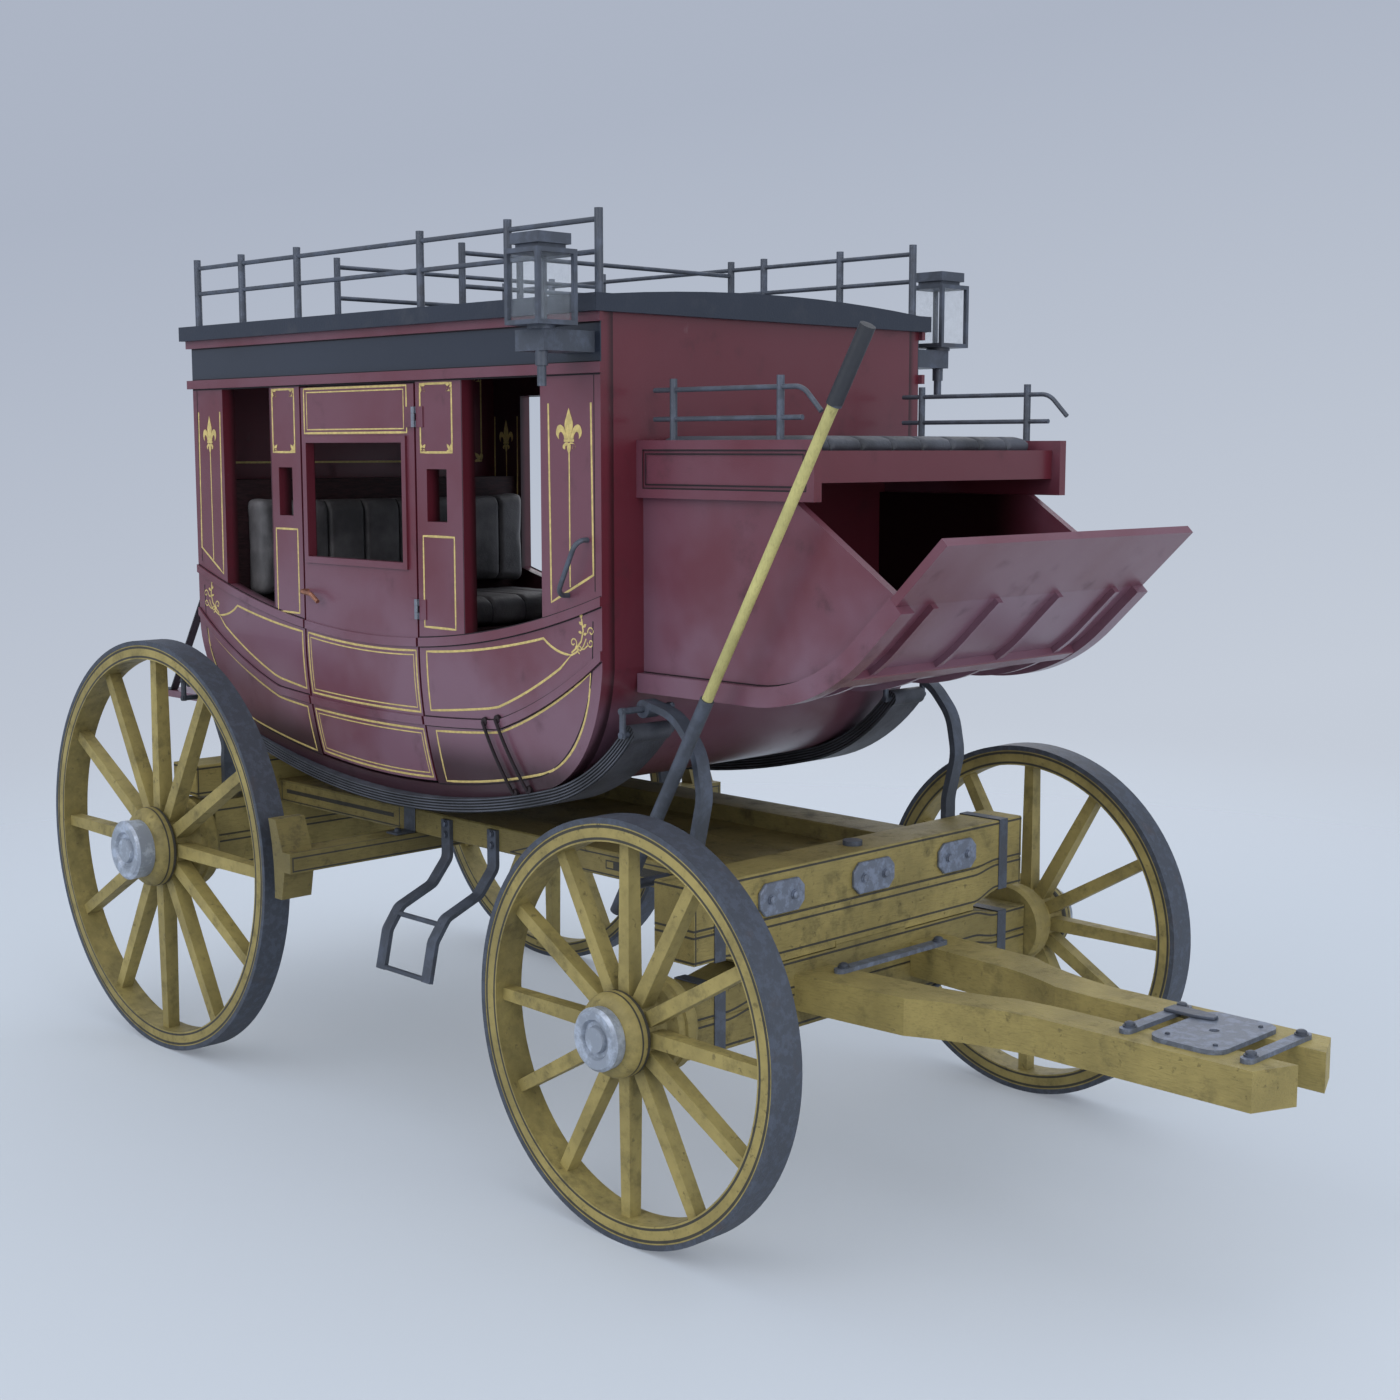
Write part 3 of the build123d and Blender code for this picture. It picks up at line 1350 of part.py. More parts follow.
with BuildPart() as lever_shaft:
    with BuildSketch(lever_plane.offset(lever_ends[0][1] + seat_gap)):
        Circle(lever_shaft_radius)
    extrude(amount=lever_ends[1][0] - lever_ends[0][1] - 2 * seat_gap)
save(lever_shaft.part, "lever_shaft")

# Lamps: an iron lantern on an arm at each front corner, with its panes
lamp_x = cabin_front - lamp_setback
lamp_mid_z = lamp_bottom_z + lamp_height / 2
pane_height = lamp_height - 2 * lamp_bar
pane_width = 2 * (lamp_half - lamp_bar)
with BuildPart() as lamps:
    for side in (-1, 1):
        with Locations((lamp_x, side * lamp_y, lamp_mid_z)):
            Box(2 * lamp_half, 2 * lamp_half, lamp_height)
            Box(pane_width, 3 * lamp_half, pane_height, mode=Mode.SUBTRACT)
            Box(3 * lamp_half, pane_width, pane_height, mode=Mode.SUBTRACT)
        lid_z = lamp_bottom_z + lamp_height
        for half, low_z, height in ((lamp_neck_half, lid_z, lamp_neck), (lamp_lid_half, lid_z + lamp_neck, lamp_lid)):
            with Locations((lamp_x, side * lamp_y, low_z + height / 2)):
                Box(2 * half, 2 * half, height)
        for radius, length in lamp_stem:
            with Locations((lamp_x, side * lamp_y, lamp_bottom_z - length / 2)):
                Cylinder(radius, length)
        arm_width = lamp_y - side_outer_y + lamp_stem[1][0]
        arm_y = side * (side_outer_y + arm_width / 2)
        with Locations((lamp_x - lamp_arm_length / 4, arm_y, (lamp_arm_bottom_z + lamp_arm_top_z) / 2)):
            Box(lamp_arm_length, arm_width, lamp_arm_top_z - lamp_arm_bottom_z)
save(lamps.part, "lamps")

with BuildPart() as lamp_panes:
    for side in (-1, 1):
        with Locations((lamp_x, side * lamp_y, lamp_mid_z)):
            outside = pane_width - 2 * seat_gap
            inside = outside - 2 * lamp_glass
            Box(outside, outside, pane_height - 2 * seat_gap)
            Box(inside, inside, lamp_height, mode=Mode.SUBTRACT)
save(lamp_panes.part, "lamp_panes")

# Rear platform between the straps, and the two hangers that hold its back edge
with BuildPart() as rear_platform:
    with Locations((cabin_rear - platform_rear, 0, platform_top_z)):
        length = platform_rear - platform_neck
        Box(length, 2 * platform_half_width, platform_thickness, align=(Align.MIN, Align.CENTER, Align.MAX))
    with Locations((cabin_rear - platform_neck, 0, platform_top_z)):
        length = platform_neck + belly_end_inset
        Box(length, 2 * platform_neck_half_width, platform_thickness, align=(Align.MIN, Align.CENTER, Align.MAX))
    with BuildSketch(side_plane(-platform_half_width)):
        with BuildLine():
            side_lines()
        make_face()
    extrude(amount=-2 * platform_half_width, mode=Mode.SUBTRACT)
save(rear_platform.part, "rear_platform")

with BuildPart() as platform_hangers:
    for side in (-1, 1):
        y = side * (platform_half_width - hanger_width / 2)
        foot = (cabin_rear - platform_rear + hanger_inset, y, platform_top_z + hanger_thickness / 2)
        head = (cabin_rear - hanger_thickness / 2, y, hanger_top_z)
        with BuildLine():
            FilletPolyline(
                (foot[0] - hanger_tab, y, foot[2]), foot, head, (head[0], y, head[2] + hanger_tab), radius=hanger_bend
            )
        with BuildSketch(Plane(origin=(foot[0] - hanger_tab, y, foot[2]), x_dir=(0, 1, 0), z_dir=(1, 0, 0))):
            Rectangle(hanger_width, hanger_thickness)
        sweep()
save(platform_hangers.part, "platform_hangers")
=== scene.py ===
"""Finishes of a stagecoach: paint, iron, wood and leather, stuffed seats, painted lines and small irons."""

import json
import math

import bmesh
import bpy
from bpy.props import FloatProperty, FloatVectorProperty, IntProperty, PointerProperty
from bpy.types import Operator, Panel, PropertyGroup
from mathutils import Matrix, Vector

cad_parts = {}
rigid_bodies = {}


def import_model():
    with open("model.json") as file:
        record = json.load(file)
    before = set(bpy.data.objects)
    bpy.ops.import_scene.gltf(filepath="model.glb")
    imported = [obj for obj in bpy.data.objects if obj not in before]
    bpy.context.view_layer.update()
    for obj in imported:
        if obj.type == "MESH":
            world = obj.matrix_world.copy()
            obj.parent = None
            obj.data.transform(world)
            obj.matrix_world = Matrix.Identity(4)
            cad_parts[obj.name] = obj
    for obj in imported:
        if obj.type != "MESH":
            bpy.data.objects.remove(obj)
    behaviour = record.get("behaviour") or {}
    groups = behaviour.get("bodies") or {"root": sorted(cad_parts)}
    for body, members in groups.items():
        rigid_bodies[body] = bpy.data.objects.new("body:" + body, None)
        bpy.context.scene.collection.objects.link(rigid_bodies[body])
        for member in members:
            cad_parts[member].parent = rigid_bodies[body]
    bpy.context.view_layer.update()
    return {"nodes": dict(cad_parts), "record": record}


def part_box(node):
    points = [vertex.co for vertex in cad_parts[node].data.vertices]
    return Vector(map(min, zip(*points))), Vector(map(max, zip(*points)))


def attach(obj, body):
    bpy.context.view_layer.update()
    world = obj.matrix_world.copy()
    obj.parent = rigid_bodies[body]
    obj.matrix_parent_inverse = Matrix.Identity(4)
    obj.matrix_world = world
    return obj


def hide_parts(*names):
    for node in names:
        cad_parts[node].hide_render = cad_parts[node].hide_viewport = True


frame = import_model()

bl_info = {
    "name": "Stagecoach finishes",
    "version": (1, 0, 0),
    "blender": (4, 5, 0),
    "location": "3D View > Sidebar > Coach",
    "description": "Finishes, stuffed seats, painted lines and small irons for a packed stagecoach",
    "category": "Object",
}

# Places taken from the frame, in metres
SIDE_LOW, SIDE_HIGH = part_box("side_right")
MID = (SIDE_LOW.x + SIDE_HIGH.x) / 2
WALL = -SIDE_LOW.y
FRONT_WHEEL = sum(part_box("tyre_front_right"), Vector()) / 2
REAR_WHEEL = sum(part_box("tyre_rear_right"), Vector()) / 2
AXLE = FRONT_WHEEL.x
SIDES = (("right", -1), ("left", 1))

# Belts of the sides as arcs out from the cabin's middle: offset along X and height of the top edge
BELT = 0.026
UPPER_BELT = ((-1.0325, 1.628), (0.0, 1.455), (1.0325, 1.628))
LOWER_BELT_MIDDLE = ((-0.5685, 1.249), (0.0, 1.222), (0.5685, 1.249))
LOWER_BELT_END = ((0.5685, 1.249), (0.7855, 1.334), (1.0325, 1.482))
BELLY = ((-0.7525, 1.068), (0.0, 0.968), (0.7525, 1.068))
BILGE = ((0.7525, 1.068), (0.9575, 1.222), (1.0325, 1.43))
# The sides turn under below the upper belt: distance out and height
TURN_UNDER = ((WALL, 1.47), (WALL - 0.016, 1.22), (WALL - 0.077, 0.968))
HINGE = AXLE - 1.1375
INNER_WALL = 0.612
# The slate band under the roof, the window posts' lines and the door's edges
BAND_MIDDLE, BAND_HALF = 2.2975, 0.0525
HEAD_PANEL, WAIST_PANEL = (2.008, 2.2055), (1.4975, 1.7645)
POST_TOP = 2.212
DOOR_LOW, DOOR_HIGH = -0.3715, 0.2005
# Painted lines stand this far off a wall, and their section is flattened by this factor
LIFT, FLAT = 0.0002, 0.22
# Width over which a painted mask fades out
SOFT = 0.0006
# Thickness of an iron strap, pitch of the driver's tufts, and the end and half width of the cabin's seats
STRAP_IRON, TUFT = 0.005, 0.124
SEAT_END, SEAT_HALF = 0.8809, 0.598
# Top and foot of the rods on the lower front panels
PANEL_RODS = (((-0.838, 1.24), (-0.756, 1.036)), ((-0.778, 1.253), (-0.688, 1.054)))

# Colours of dirt, wear, dark lines and painted shade
LINE_BLACK = (0.02, 0.021, 0.025)
# Near black of the dark lines of painted shadow, and of the rods on the front panels
SHADOW_LINE_AND_ROD_BLACK = (0.014, 0.006, 0.009)
WINE_GRIME = (0.03, 0.013, 0.017)
WINE_SCUFF = (0.2, 0.12, 0.13)
WINE_SHADOW = (0.008, 0.0015, 0.002)
ROOF_DIRT = (0.08, 0.08, 0.09)
BARE_PIN = (0.19, 0.21, 0.25)
RUST = (0.1, 0.055, 0.03)
GRIP_LEATHER = (0.0105, 0.012, 0.018)
SOOT = (0.035, 0.03, 0.018)
SOOT_SPOT = (0.028, 0.022, 0.014)
# Dirt with painted shade where the spokes enter the nave and the felloe
NOOK_DIRT_AND_SHADE = (0.035, 0.03, 0.017)
# Near black of the painted shade between a strap's layers
LAYER_GAP_SHADE = (0.003, 0.003, 0.004)
# Colours of single pieces
SHAFT_PAINT = (0.43, 0.385, 0.15)
# The seats' leather, painted lighter than the other leather to stand in for light in the dim cabin
LIT_SEAT_LEATHER = (0.075, 0.068, 0.07)
GLASS = ((0.6, 0.64, 0.68), (0.4, 0.43, 0.47))
DARK_WOOD = ((0.018, 0.007, 0.008), (0.05, 0.018, 0.02))
FLOOR_WOOD = ((0.07, 0.05, 0.045), (0.17, 0.13, 0.12))

# Which finish a node wears: by its name, or else by its slot
NODE_FINISHES = {
    "roof": "slate_paint",
    "front_bolster": "front_bolster_paint",
    "front_axle": "front_bed_paint",
    "rear_bolster": "rear_bolster_paint",
    "rear_axle": "rear_bed_paint",
    "perches": "perch_paint",
    "frame_boards": "perch_paint",
    "hounds": "hound_paint",
    "hound_irons": "lit_iron",
    "lever_shaft": "shaft_paint",
    "brake_lever": "lever_iron",
    "brake_gear": "brake_paint",
    "cabin_floor": "floor_wood",
    "side_left": "wine_and_band",
    "side_right": "wine_and_band",
    "front_boot": "boot_paint",
    "hinge_posts": "hinge_paint",
    "hinge_leaves_left": "hinge_paint",
    "hinge_leaves_right": "hinge_paint",
}
SLOT_FINISHES = {
    "coach_paint": "wine_paint",
    "roof_paint": "slate_paint",
    "black_iron": "iron",
    "tyre_iron": "tyre_iron",
    "strap_leather": "strap_leather",
    "dark_wood": "dark_wood",
    "lamp_glass": "lamp_glass",
    "handle_copper": "copper",
}
FINISHES = {}


def colour_setting(name, description, default):
    """A colour that a user may change."""
    return FloatVectorProperty(
        name=name, description=description, subtype="COLOR", size=3, min=0, max=1, default=default
    )


def length_setting(name, description, default):
    """A length that a user may change."""
    return FloatProperty(name=name, description=description, default=default, unit="LENGTH")


class CoachColours(PropertyGroup):
    """Base colours of the coach's finishes."""

    wine: colour_setting("Body paint", "Wine paint of the cabin, boot and seat", (0.1, 0.009, 0.017))
    # This colour gives the dusting and also a painted sheen in place of the paint's reflections
    dust: colour_setting("Dust", "Pale dust that dulls the wine paint", (0.174, 0.09, 0.126))
    slate: colour_setting("Roof paint", "Slate paint of the roof and its band", (0.0145, 0.019, 0.0315))
    mustard: colour_setting("Gear paint", "Worn mustard paint of the wooden gear", (0.268, 0.208, 0.070))
    iron: colour_setting("Iron", "Weathered iron of rails, straps and standards", (0.075, 0.085, 0.11))
    bright: colour_setting("Hub cap metal", "Bare metal of the hub caps", (0.33, 0.36, 0.42))
    leather: colour_setting("Leather", "Leather of seats and straps", (0.022, 0.023, 0.029))
    gold: colour_setting("Gold lines", "Gold paint of lines and ornaments", (0.53, 0.40, 0.145))
    copper: colour_setting("Copper", "Copper of the door handles", (0.42, 0.19, 0.12))
    floor: colour_setting("Floor", "Pale floor under the coach", (0.485, 0.502, 0.543))


class CoachSizes(PropertyGroup):
    """Sizes of what is laid on or stuffed."""

    line: length_setting("Painted line", "Width of a gold line", 0.0068)
    # Width of the dark lines that paint shadow beside belts, rail, posts, band and sunk panels
    seam: length_setting("Dark seam", "Width of a dark seam line", 0.0042)
    bolt: length_setting("Bolt head", "Radius of a bolt head", 0.014)
    swell: length_setting("Swell", "Most that a cushion may swell", 0.024)
    channel: length_setting("Channel", "Pitch of the sewn channels", 0.1495)
    turns: IntProperty(name="Cloth steps", description="Steps of the cloth simulation", default=20, min=1)


class Wire:
    """An output of a shader node, which can be used in a written sum."""

    def __init__(self, nodes, socket):
        self.nodes = nodes
        self.socket = socket

    def maths(self, kind, *others):
        """This value and others put through a Math node."""
        return self.nodes.maths(kind, self, *others)

    def __add__(self, other):
        return self.maths("ADD", other)

    def __sub__(self, other):
        return self.maths("SUBTRACT", other)

    def __mul__(self, other):
        return self.maths("MULTIPLY", other)

    def __rsub__(self, other):
        return self.nodes.maths("SUBTRACT", other, self)

    __radd__ = __add__
    __rmul__ = __mul__

    def __abs__(self):
        return self.maths("ABSOLUTE")

    def __pow__(self, power):
        return self.maths("POWER", power)

    def most(self, other):
        """The larger of two values."""
        return self.maths("MAXIMUM", other)

    def least(self, other):
        """The smaller of two values."""
        return self.maths("MINIMUM", other)

    def rise(self, low, high):
        """0 below low, 1 above high and smooth in between."""
        ease = {"interpolation_type": "SMOOTHSTEP"}
        return self.nodes.add("MapRange", ease, {0: self, 1: low, 2: high})

    def near(self, middle, half, edge=SOFT):
        """1 within half of a middle value, 0 elsewhere."""
        return 1 - abs(self - middle).rise(half, half + edge)


class Nodes:
    """The nodes of a material or of the world."""

    def __init__(self, tree):
        self.tree = tree

    def feed(self, node, inputs):
        """Give a node's sockets their values or wires."""
        for key, value in inputs.items():
            if isinstance(value, Wire):
                self.tree.links.new(value.socket, node.inputs[key])
            else:
                node.inputs[key].default_value = value

    def add(self, kind, settings=None, inputs=None, output=0):
        """Add a node, with its settings first and then the values or wires of its sockets."""
        node = self.tree.nodes.new("ShaderNode" + kind)
        for name, value in (settings or {}).items():
            setattr(node, name, value)
        self.feed(node, inputs or {})
        return Wire(self, node.outputs[output]) if node.outputs else None

    def other(self, wire, name):
        """Another output of the node that a wire comes from."""
        return Wire(self, wire.socket.node.outputs[name])

    def maths(self, kind, *values):
        return self.add("Math", {"operation": kind}, dict(enumerate(values)))

    def mix(self, factor, first, second):
        """A colour between two colours."""
        first, second = (part if isinstance(part, Wire) else (*part, 1) for part in (first, second))
        return self.add("Mix", {"data_type": "RGBA"}, {0: factor, 6: first, 7: second}, 2)


class Finish(Nodes):
    """A material built from nodes on the piece's own coordinates."""

    def __init__(self, name, **sockets):
        self.material = FINISHES[name] = bpy.data.materials.new(name)
        self.material.use_nodes = True
        super().__init__(self.material.node_tree)
        self.shader = self.tree.nodes["Principled BSDF"]
        self.dress(**sockets)
        axes = self.add("TexCoord")
        self.place = self.other(axes, "Object")
        apart = self.add("SeparateXYZ", inputs={0: self.place})
        self.x, self.y, self.z = (self.other(apart, axis) for axis in "XYZ")
        facing = self.add("SeparateXYZ", inputs={0: self.other(axes, "Normal")})
        self.facing = [abs(self.other(facing, axis)) for axis in "XYZ"]

    def dress(self, **sockets):
        """Give the shader's sockets their values or wires; a socket's name is written with underscores."""
        self.feed(self.shader, {name.replace("_", " "): value for name, value in sockets.items()})
        return self.material

    def bump(self, height, depth):
        """A normal that is roughened by a height."""
        return self.add("Bump", None, {"Strength": 1.0, "Distance": depth, "Height": height})

    def noise(self, scale, detail=3.0, rough=0.55, stretch=None, shift=0.0):
        """Soft noise from 0 to 1, drawn out along an axis by stretch."""
        place = self.place
        if stretch:
            place = self.add("VectorMath", {"operation": "MULTIPLY"}, {0: place, 1: stretch})
        if shift:
            place = self.add("VectorMath", {"operation": "ADD"}, {0: place, 1: (shift,) * 3})
        grain = {"Vector": place, "Scale": scale, "Detail": detail, "Roughness": rough}
        return self.add("TexNoise", None, grain)

    def off_axis(self, x, z):
        """Distance from an axis that runs across the coach."""
        return ((self.x - x) ** 2.0 + (self.z - z) ** 2.0) ** 0.5

    def upright(self, *axes):
        """1 on faces that look along one of the given axes, 0 elsewhere."""
        facing = self.facing[axes[0]]
        for axis in axes[1:]:
            facing = facing.most(self.facing[axis])
        return facing.rise(0.7, 0.75)


def shade(colour, factor):
    """A colour made darker or lighter."""
    return tuple(min(1.0, part * factor) for part in colour)


def cabin_hollow(made):
    """1 on the inner faces of the cabin's sides, which get painted shade."""
    return (1 - abs(made.y).rise(0.613, 0.64)) * 0.78


def boot_hollow(made):
    """1 inside the boot, above its floor and behind its front, which gets painted shade."""
    between = (1 - abs(made.y).rise(0.486, 0.49)) * made.z.rise(1.4, 1.5)
    return between * (1 - made.x.rise(AXLE + 0.1, AXLE + 0.3))


def wine_finish(colours, name="wine_paint", band=False, pins=False, hollow=None, fade=1.0):
    """Glossy wine paint, dusted and grimy, with a painted sheen, painted shade in a hollow; sides get a slate
    band, hinges bare pins.
    """
    made = Finish(name, Specular_IOR_Level=0.4, Coat_Roughness=0.22, IOR=1.5)
    cloud = made.noise(1.7, 4.0)
    grime = made.noise(9.0, 6.0, 0.62, shift=3.1).rise(0.56, 0.78)
    grain = made.noise(420.0, 2.0)
    scuff = made.noise(26.0, 8.0, 0.7, stretch=(1, 1, 0.35)).rise(0.66, 0.74)
    # A dusting that also paints the sheen of reflected pale surroundings; more of it lower down
    dust_sheen_mask = (cloud.rise(0.31, 0.62) * 0.78 + 0.22) * (0.6 + grain * 0.2)
    # Faces that look forward or back get less of it, which leaves them deeper red as painted shade
    dust_sheen_mask = dust_sheen_mask * (1 - made.facing[0].rise(0.92, 0.98) * 0.85) * fade
    dust_sheen_mask = dust_sheen_mask * (1.3 - made.z.rise(1.3, 1.85) * 0.72)
    colour = made.mix(dust_sheen_mask.least(0.85), colours.wine, colours.dust)
    colour = made.mix(grime * 0.45, colour, WINE_GRIME)
    colour = made.mix(scuff * 0.2, colour, WINE_SCUFF)
    # Painted shade on the inner faces of the cabin and inside the boot
    inside = hollow(made) if hollow else 0.0
    colour = made.mix(inside, colour, WINE_SHADOW)
    if band:
        slate = made.mix(cloud, shade(colours.slate, 0.8), shade(colours.slate, 1.3))
        outer = abs(made.y).rise(WALL - 0.004, WALL - 0.003)
        colour = made.mix(made.z.near(BAND_MIDDLE, BAND_HALF) * outer, colour, slate)
    pin = made.x.near(HINGE, 0.0085) if pins else 0.0
    return made.dress(
        Base_Color=made.mix(pin, colour, BARE_PIN),
        Metallic=pin * 0.5,
        Roughness=0.3 + grime * 0.18 + scuff * 0.12 + grain * 0.05,
        Coat_Weight=(0.34 - grime * 0.25 - dust_sheen_mask * 0.08) * (1 - inside),
        Normal=made.bump(grain * 0.4 + made.noise(3.0) * 2.2, 0.0011),
    )


def slate_finish(colours):
    """Slate paint of the roof, clouded and dirty."""
    made = Finish("slate_paint", Specular_IOR_Level=0.45)
    cloud, dirt = made.noise(2.3, 5.0), made.noise(14.0, 7.0, 0.65).rise(0.5, 0.8)
    colour = made.mix(cloud, shade(colours.slate, 0.85), shade(colours.slate, 1.45))
    return made.dress(
        Base_Color=made.mix(dirt * 0.3, colour, ROOF_DIRT),
        Roughness=0.42 + dirt * 0.25,
        Normal=made.bump(made.noise(160.0, 3.0), 0.0008),
    )


def iron_finish(name, colour, rough, rust=0.12, scale=1.0, grip=None):
    """Forged iron, paler where rubbed and brown where it rusts, wrapped in leather above a grip's height."""
    made = Finish(name, Specular_IOR_Level=0.7)
    mottle = made.noise(16.0 * scale, 6.0, 0.65)
    pit = made.noise(95.0 * scale, 4.0, 0.6)
    stain = made.noise(5.5 * scale, 5.0, 0.6, shift=7.7).rise(0.55, 0.72)
    rubbed = mottle.rise(0.45, 0.62)
    tone = made.mix(rubbed, shade(colour, 0.8), shade(colour, 1.45))
    tone = made.mix(stain * rust, tone, RUST)
    metal = 0.35 + rubbed * 0.3
    if grip:
        wrap = made.z.rise(grip, grip + 0.005)
        tone = made.mix(wrap, tone, GRIP_LEATHER)
        metal = metal * (1 - wrap)
    normal = made.bump(pit + mottle * 0.6, 0.0012)
    return made.dress(Base_Color=tone, Metallic=metal, Roughness=rough + mottle * 0.2, Normal=normal)


def frame_lines(made, facing, across, up, low, high, bottom, top, bar=0.0, slope=None):
    """A black frame on faces that look along an axis, with a bar in its middle or a sloping top."""
    line = 0.0023
    ceiling = top if slope is None else ((across - low) * slope + bottom).least(top)
    middle, half = (low + high) / 2, (high - low) / 2

    def inside(edge):
        level = bottom - edge
        above = across.near(middle, half + edge) * up.rise(level, level + SOFT)
        return above * (1 - (up - ceiling).rise(edge, edge + SOFT))

    drawn = inside(line) - inside(-line)
    if bar:
        drawn = drawn + across.near(middle, half - 0.03) * up.near((bottom + top) / 2, bar)
    return drawn * made.upright(facing)


def black_lines(made, colour, lines):
    """A colour with black lines over it."""
    return made.mix(sum(lines).least(1.0) * 0.9, colour, LINE_BLACK) if lines else colour


def wood_paint(made, paint, along=(1, 1, 1), dirt=0.46):
    """Worn mustard paint over wood: its colour, roughness and height."""
    grain = made.noise(30.0, 6.0, 0.62, stretch=along)
    patch = made.noise(5.0, 5.0, 0.6, shift=2.2)
    spot = made.noise(46.0, 5.0, 0.72, shift=5.0).rise(0.6, 0.7)
    soot = made.noise(11.0, 7.0, 0.7, shift=9.0).rise(0.5, 0.72)
    colour = made.mix(patch.rise(0.3, 0.7), shade(paint, 0.84), shade(paint, 1.24))
    colour = made.mix(grain.rise(0.45, 0.75) * 0.4, colour, shade(paint, 0.5))
    colour = made.mix(soot * dirt, colour, SOOT)
    colour = made.mix(spot * dirt * 0.9, colour, SOOT_SPOT)
    return colour, 0.5 + grain * 0.2 + soot * 0.15, grain * 0.8 + patch + spot * 0.5


def beam_finish(paint, name, levels=(), along=(8, 1, 8), frames=(), dirt=0.4, ends=0.0, reach=0.0):
    """Mustard paint with black lines at levels that shift at a beam's ends, and frames past a reach."""
    made = Finish(name, Specular_IOR_Level=0.35)
    colour, rough, height = wood_paint(made, paint, along, dirt)
    out = abs(made.y)
    bend, upright = out.rise(0.47, 0.58), made.upright(0, 1)
    lines = [out.near(ends, 0.002) * made.facing[0]] if ends else []
    for level, shift in levels:
        lines.append((made.z - bend * shift).near(level, 0.0028) * upright)
    for facing, across, up, *sizes in frames:
        drawn = frame_lines(made, facing, getattr(made, across), getattr(made, up), *sizes)
        lines.append(drawn * out.rise(reach - 0.001, reach))
    colour = black_lines(made, colour, lines)
    return made.dress(Base_Color=colour, Roughness=rough, Normal=made.bump(height, 0.0022))


def wheel_finish(colours, name, centre, scale):
    """Mustard paint with black rings on felloe and nave, and dirt with painted shade where the spokes enter them.
    """
    made = Finish(name, Specular_IOR_Level=0.35)
    radius, out = made.off_axis(centre.x, centre.z), abs(made.y)
    colour, rough, height = wood_paint(made, colours.mustard)
    rim, edge = centre.z - 0.015, 0.001
    front = made.facing[1].rise(0.8, 0.9)
    rings = radius.near(rim - 0.0075, 0.0032, edge) + radius.near(rim - 0.0385, 0.0028, edge)
    drum = out.near(0.8895, 0.0065, edge) * radius.near(0.111 * scale, 0.03)
    drum = drum * (1 - radius.rise(0.135 * scale, 0.14 * scale))
    collar = out.near(0.912, 0.0022, edge) * radius.near(0.105 * scale, 0.02)
    by_nave = 1 - radius.rise(0.098 * scale, 0.16 * scale)
    # Dirt and painted shade near the nave and on the felloe's inner faces, patchy by noise
    nook_dirt_shade = by_nave + radius.rise(rim - 0.075, rim - 0.046) * (1 - front)
    nook_dirt_shade = nook_dirt_shade * made.noise(22.0, 5.0, 0.7, shift=1.3).rise(0.3, 0.62)
    colour = made.mix(nook_dirt_shade * 0.22, colour, NOOK_DIRT_AND_SHADE)
    colour = black_lines(made, colour, [rings * front, drum, collar])
    return made.dress(Base_Color=colour, Roughness=rough, Normal=made.bump(height, 0.002))


def layer_gaps(made):
    """Painted shade in the gaps between the layers of a strap, which follows the belly and then an arc at each
    end.
    """
    x, z, radius = circle_through(BELLY)
    bend_x, bend_z = BELLY[2]
    depth = made.off_axis(MID + x, z) - radius
    for way, reach in ((1, 0.62), (-1, 2.6)):
        share = (radius - reach) / radius
        end = made.off_axis(MID + way * bend_x * share, z + (bend_z - z) * share) - reach
        past = ((made.x - MID) * way).rise(bend_x, bend_x + 0.0001)
        depth = depth + (end - depth) * past
    gap = (depth + 0.0088).maths("PINGPONG", 0.0042)
    return (1 - gap.rise(0.0012, 0.0028)) * made.upright(1)


def leather_finish(leather, name, shadow_lines=None, layers=False):
    """Dark creased leather, with painted shade in a seat's sewn channels or in the gaps between a strap's layers.
    """
    made = Finish(name, Specular_IOR_Level=0.55)
    crease = made.noise(58.0, 7.0, 0.62)
    pore = made.add("TexVoronoi", None, {"Vector": made.place, "Scale": 260.0})
    tone = made.mix(made.noise(6.0, 4.0).rise(0.35, 0.7), shade(leather, 0.8), shade(leather, 1.9))
    if shadow_lines:
        pitch, start = shadow_lines
        cell = (made.y + start).maths("PINGPONG", pitch / 2)
        # Painted shade along the sewn channels
        tone = made.mix(1 - cell.rise(0.001, 0.004), tone, shade(leather, 0.3))
    height = crease + pore * 0.35
    if layers:
        # Painted shade in the gaps between the strap's layers
        gaps = layer_gaps(made)
        tone, height = made.mix(gaps, tone, LAYER_GAP_SHADE), height - gaps * 2.5
    return made.dress(Base_Color=tone, Roughness=0.46 + crease * 0.22, Normal=made.bump(height, 0.0016))


def wood_finish(name, dark, light, along):
    """Bare boards with a long grain."""
    made = Finish(name, Specular_IOR_Level=0.35)
    grain = made.noise(24.0, 7.0, 0.62, stretch=along)
    colour = made.mix(grain.rise(0.3, 0.7), dark, light)
    return made.dress(Base_Color=colour, Roughness=0.5 + grain * 0.25, Normal=made.bump(grain, 0.0018))


def glass_finish():
    """Old lamp glass with faint ripples."""
    made = Finish("lamp_glass", IOR=1.45)
    smear = made.noise(30.0, 4.0)
    return made.dress(
        Base_Color=made.mix(smear.rise(0.4, 0.8), *GLASS),
        Roughness=0.06 + smear * 0.16,
        Alpha=0.03 + smear.rise(0.4, 0.7) * 0.04,
        Normal=made.bump(made.noise(18.0), 0.0012),
    )


def plain_finish(name, colour, rough, metal=0.0, low=0.66):
    """Paint or metal with a little mottling, for lines and ornaments."""
    made = Finish(name, Specular_IOR_Level=0.4)
    mottle = made.noise(75.0, 6.0, 0.65)
    return made.dress(
        Base_Color=made.mix(mottle.rise(0.38, 0.66), shade(colour, low), shade(colour, 1.15)),
        Metallic=metal + mottle * 0.1,
        Roughness=rough + mottle * 0.2,
        Normal=made.bump(mottle, 0.0005),
    )


# Modelling helpers


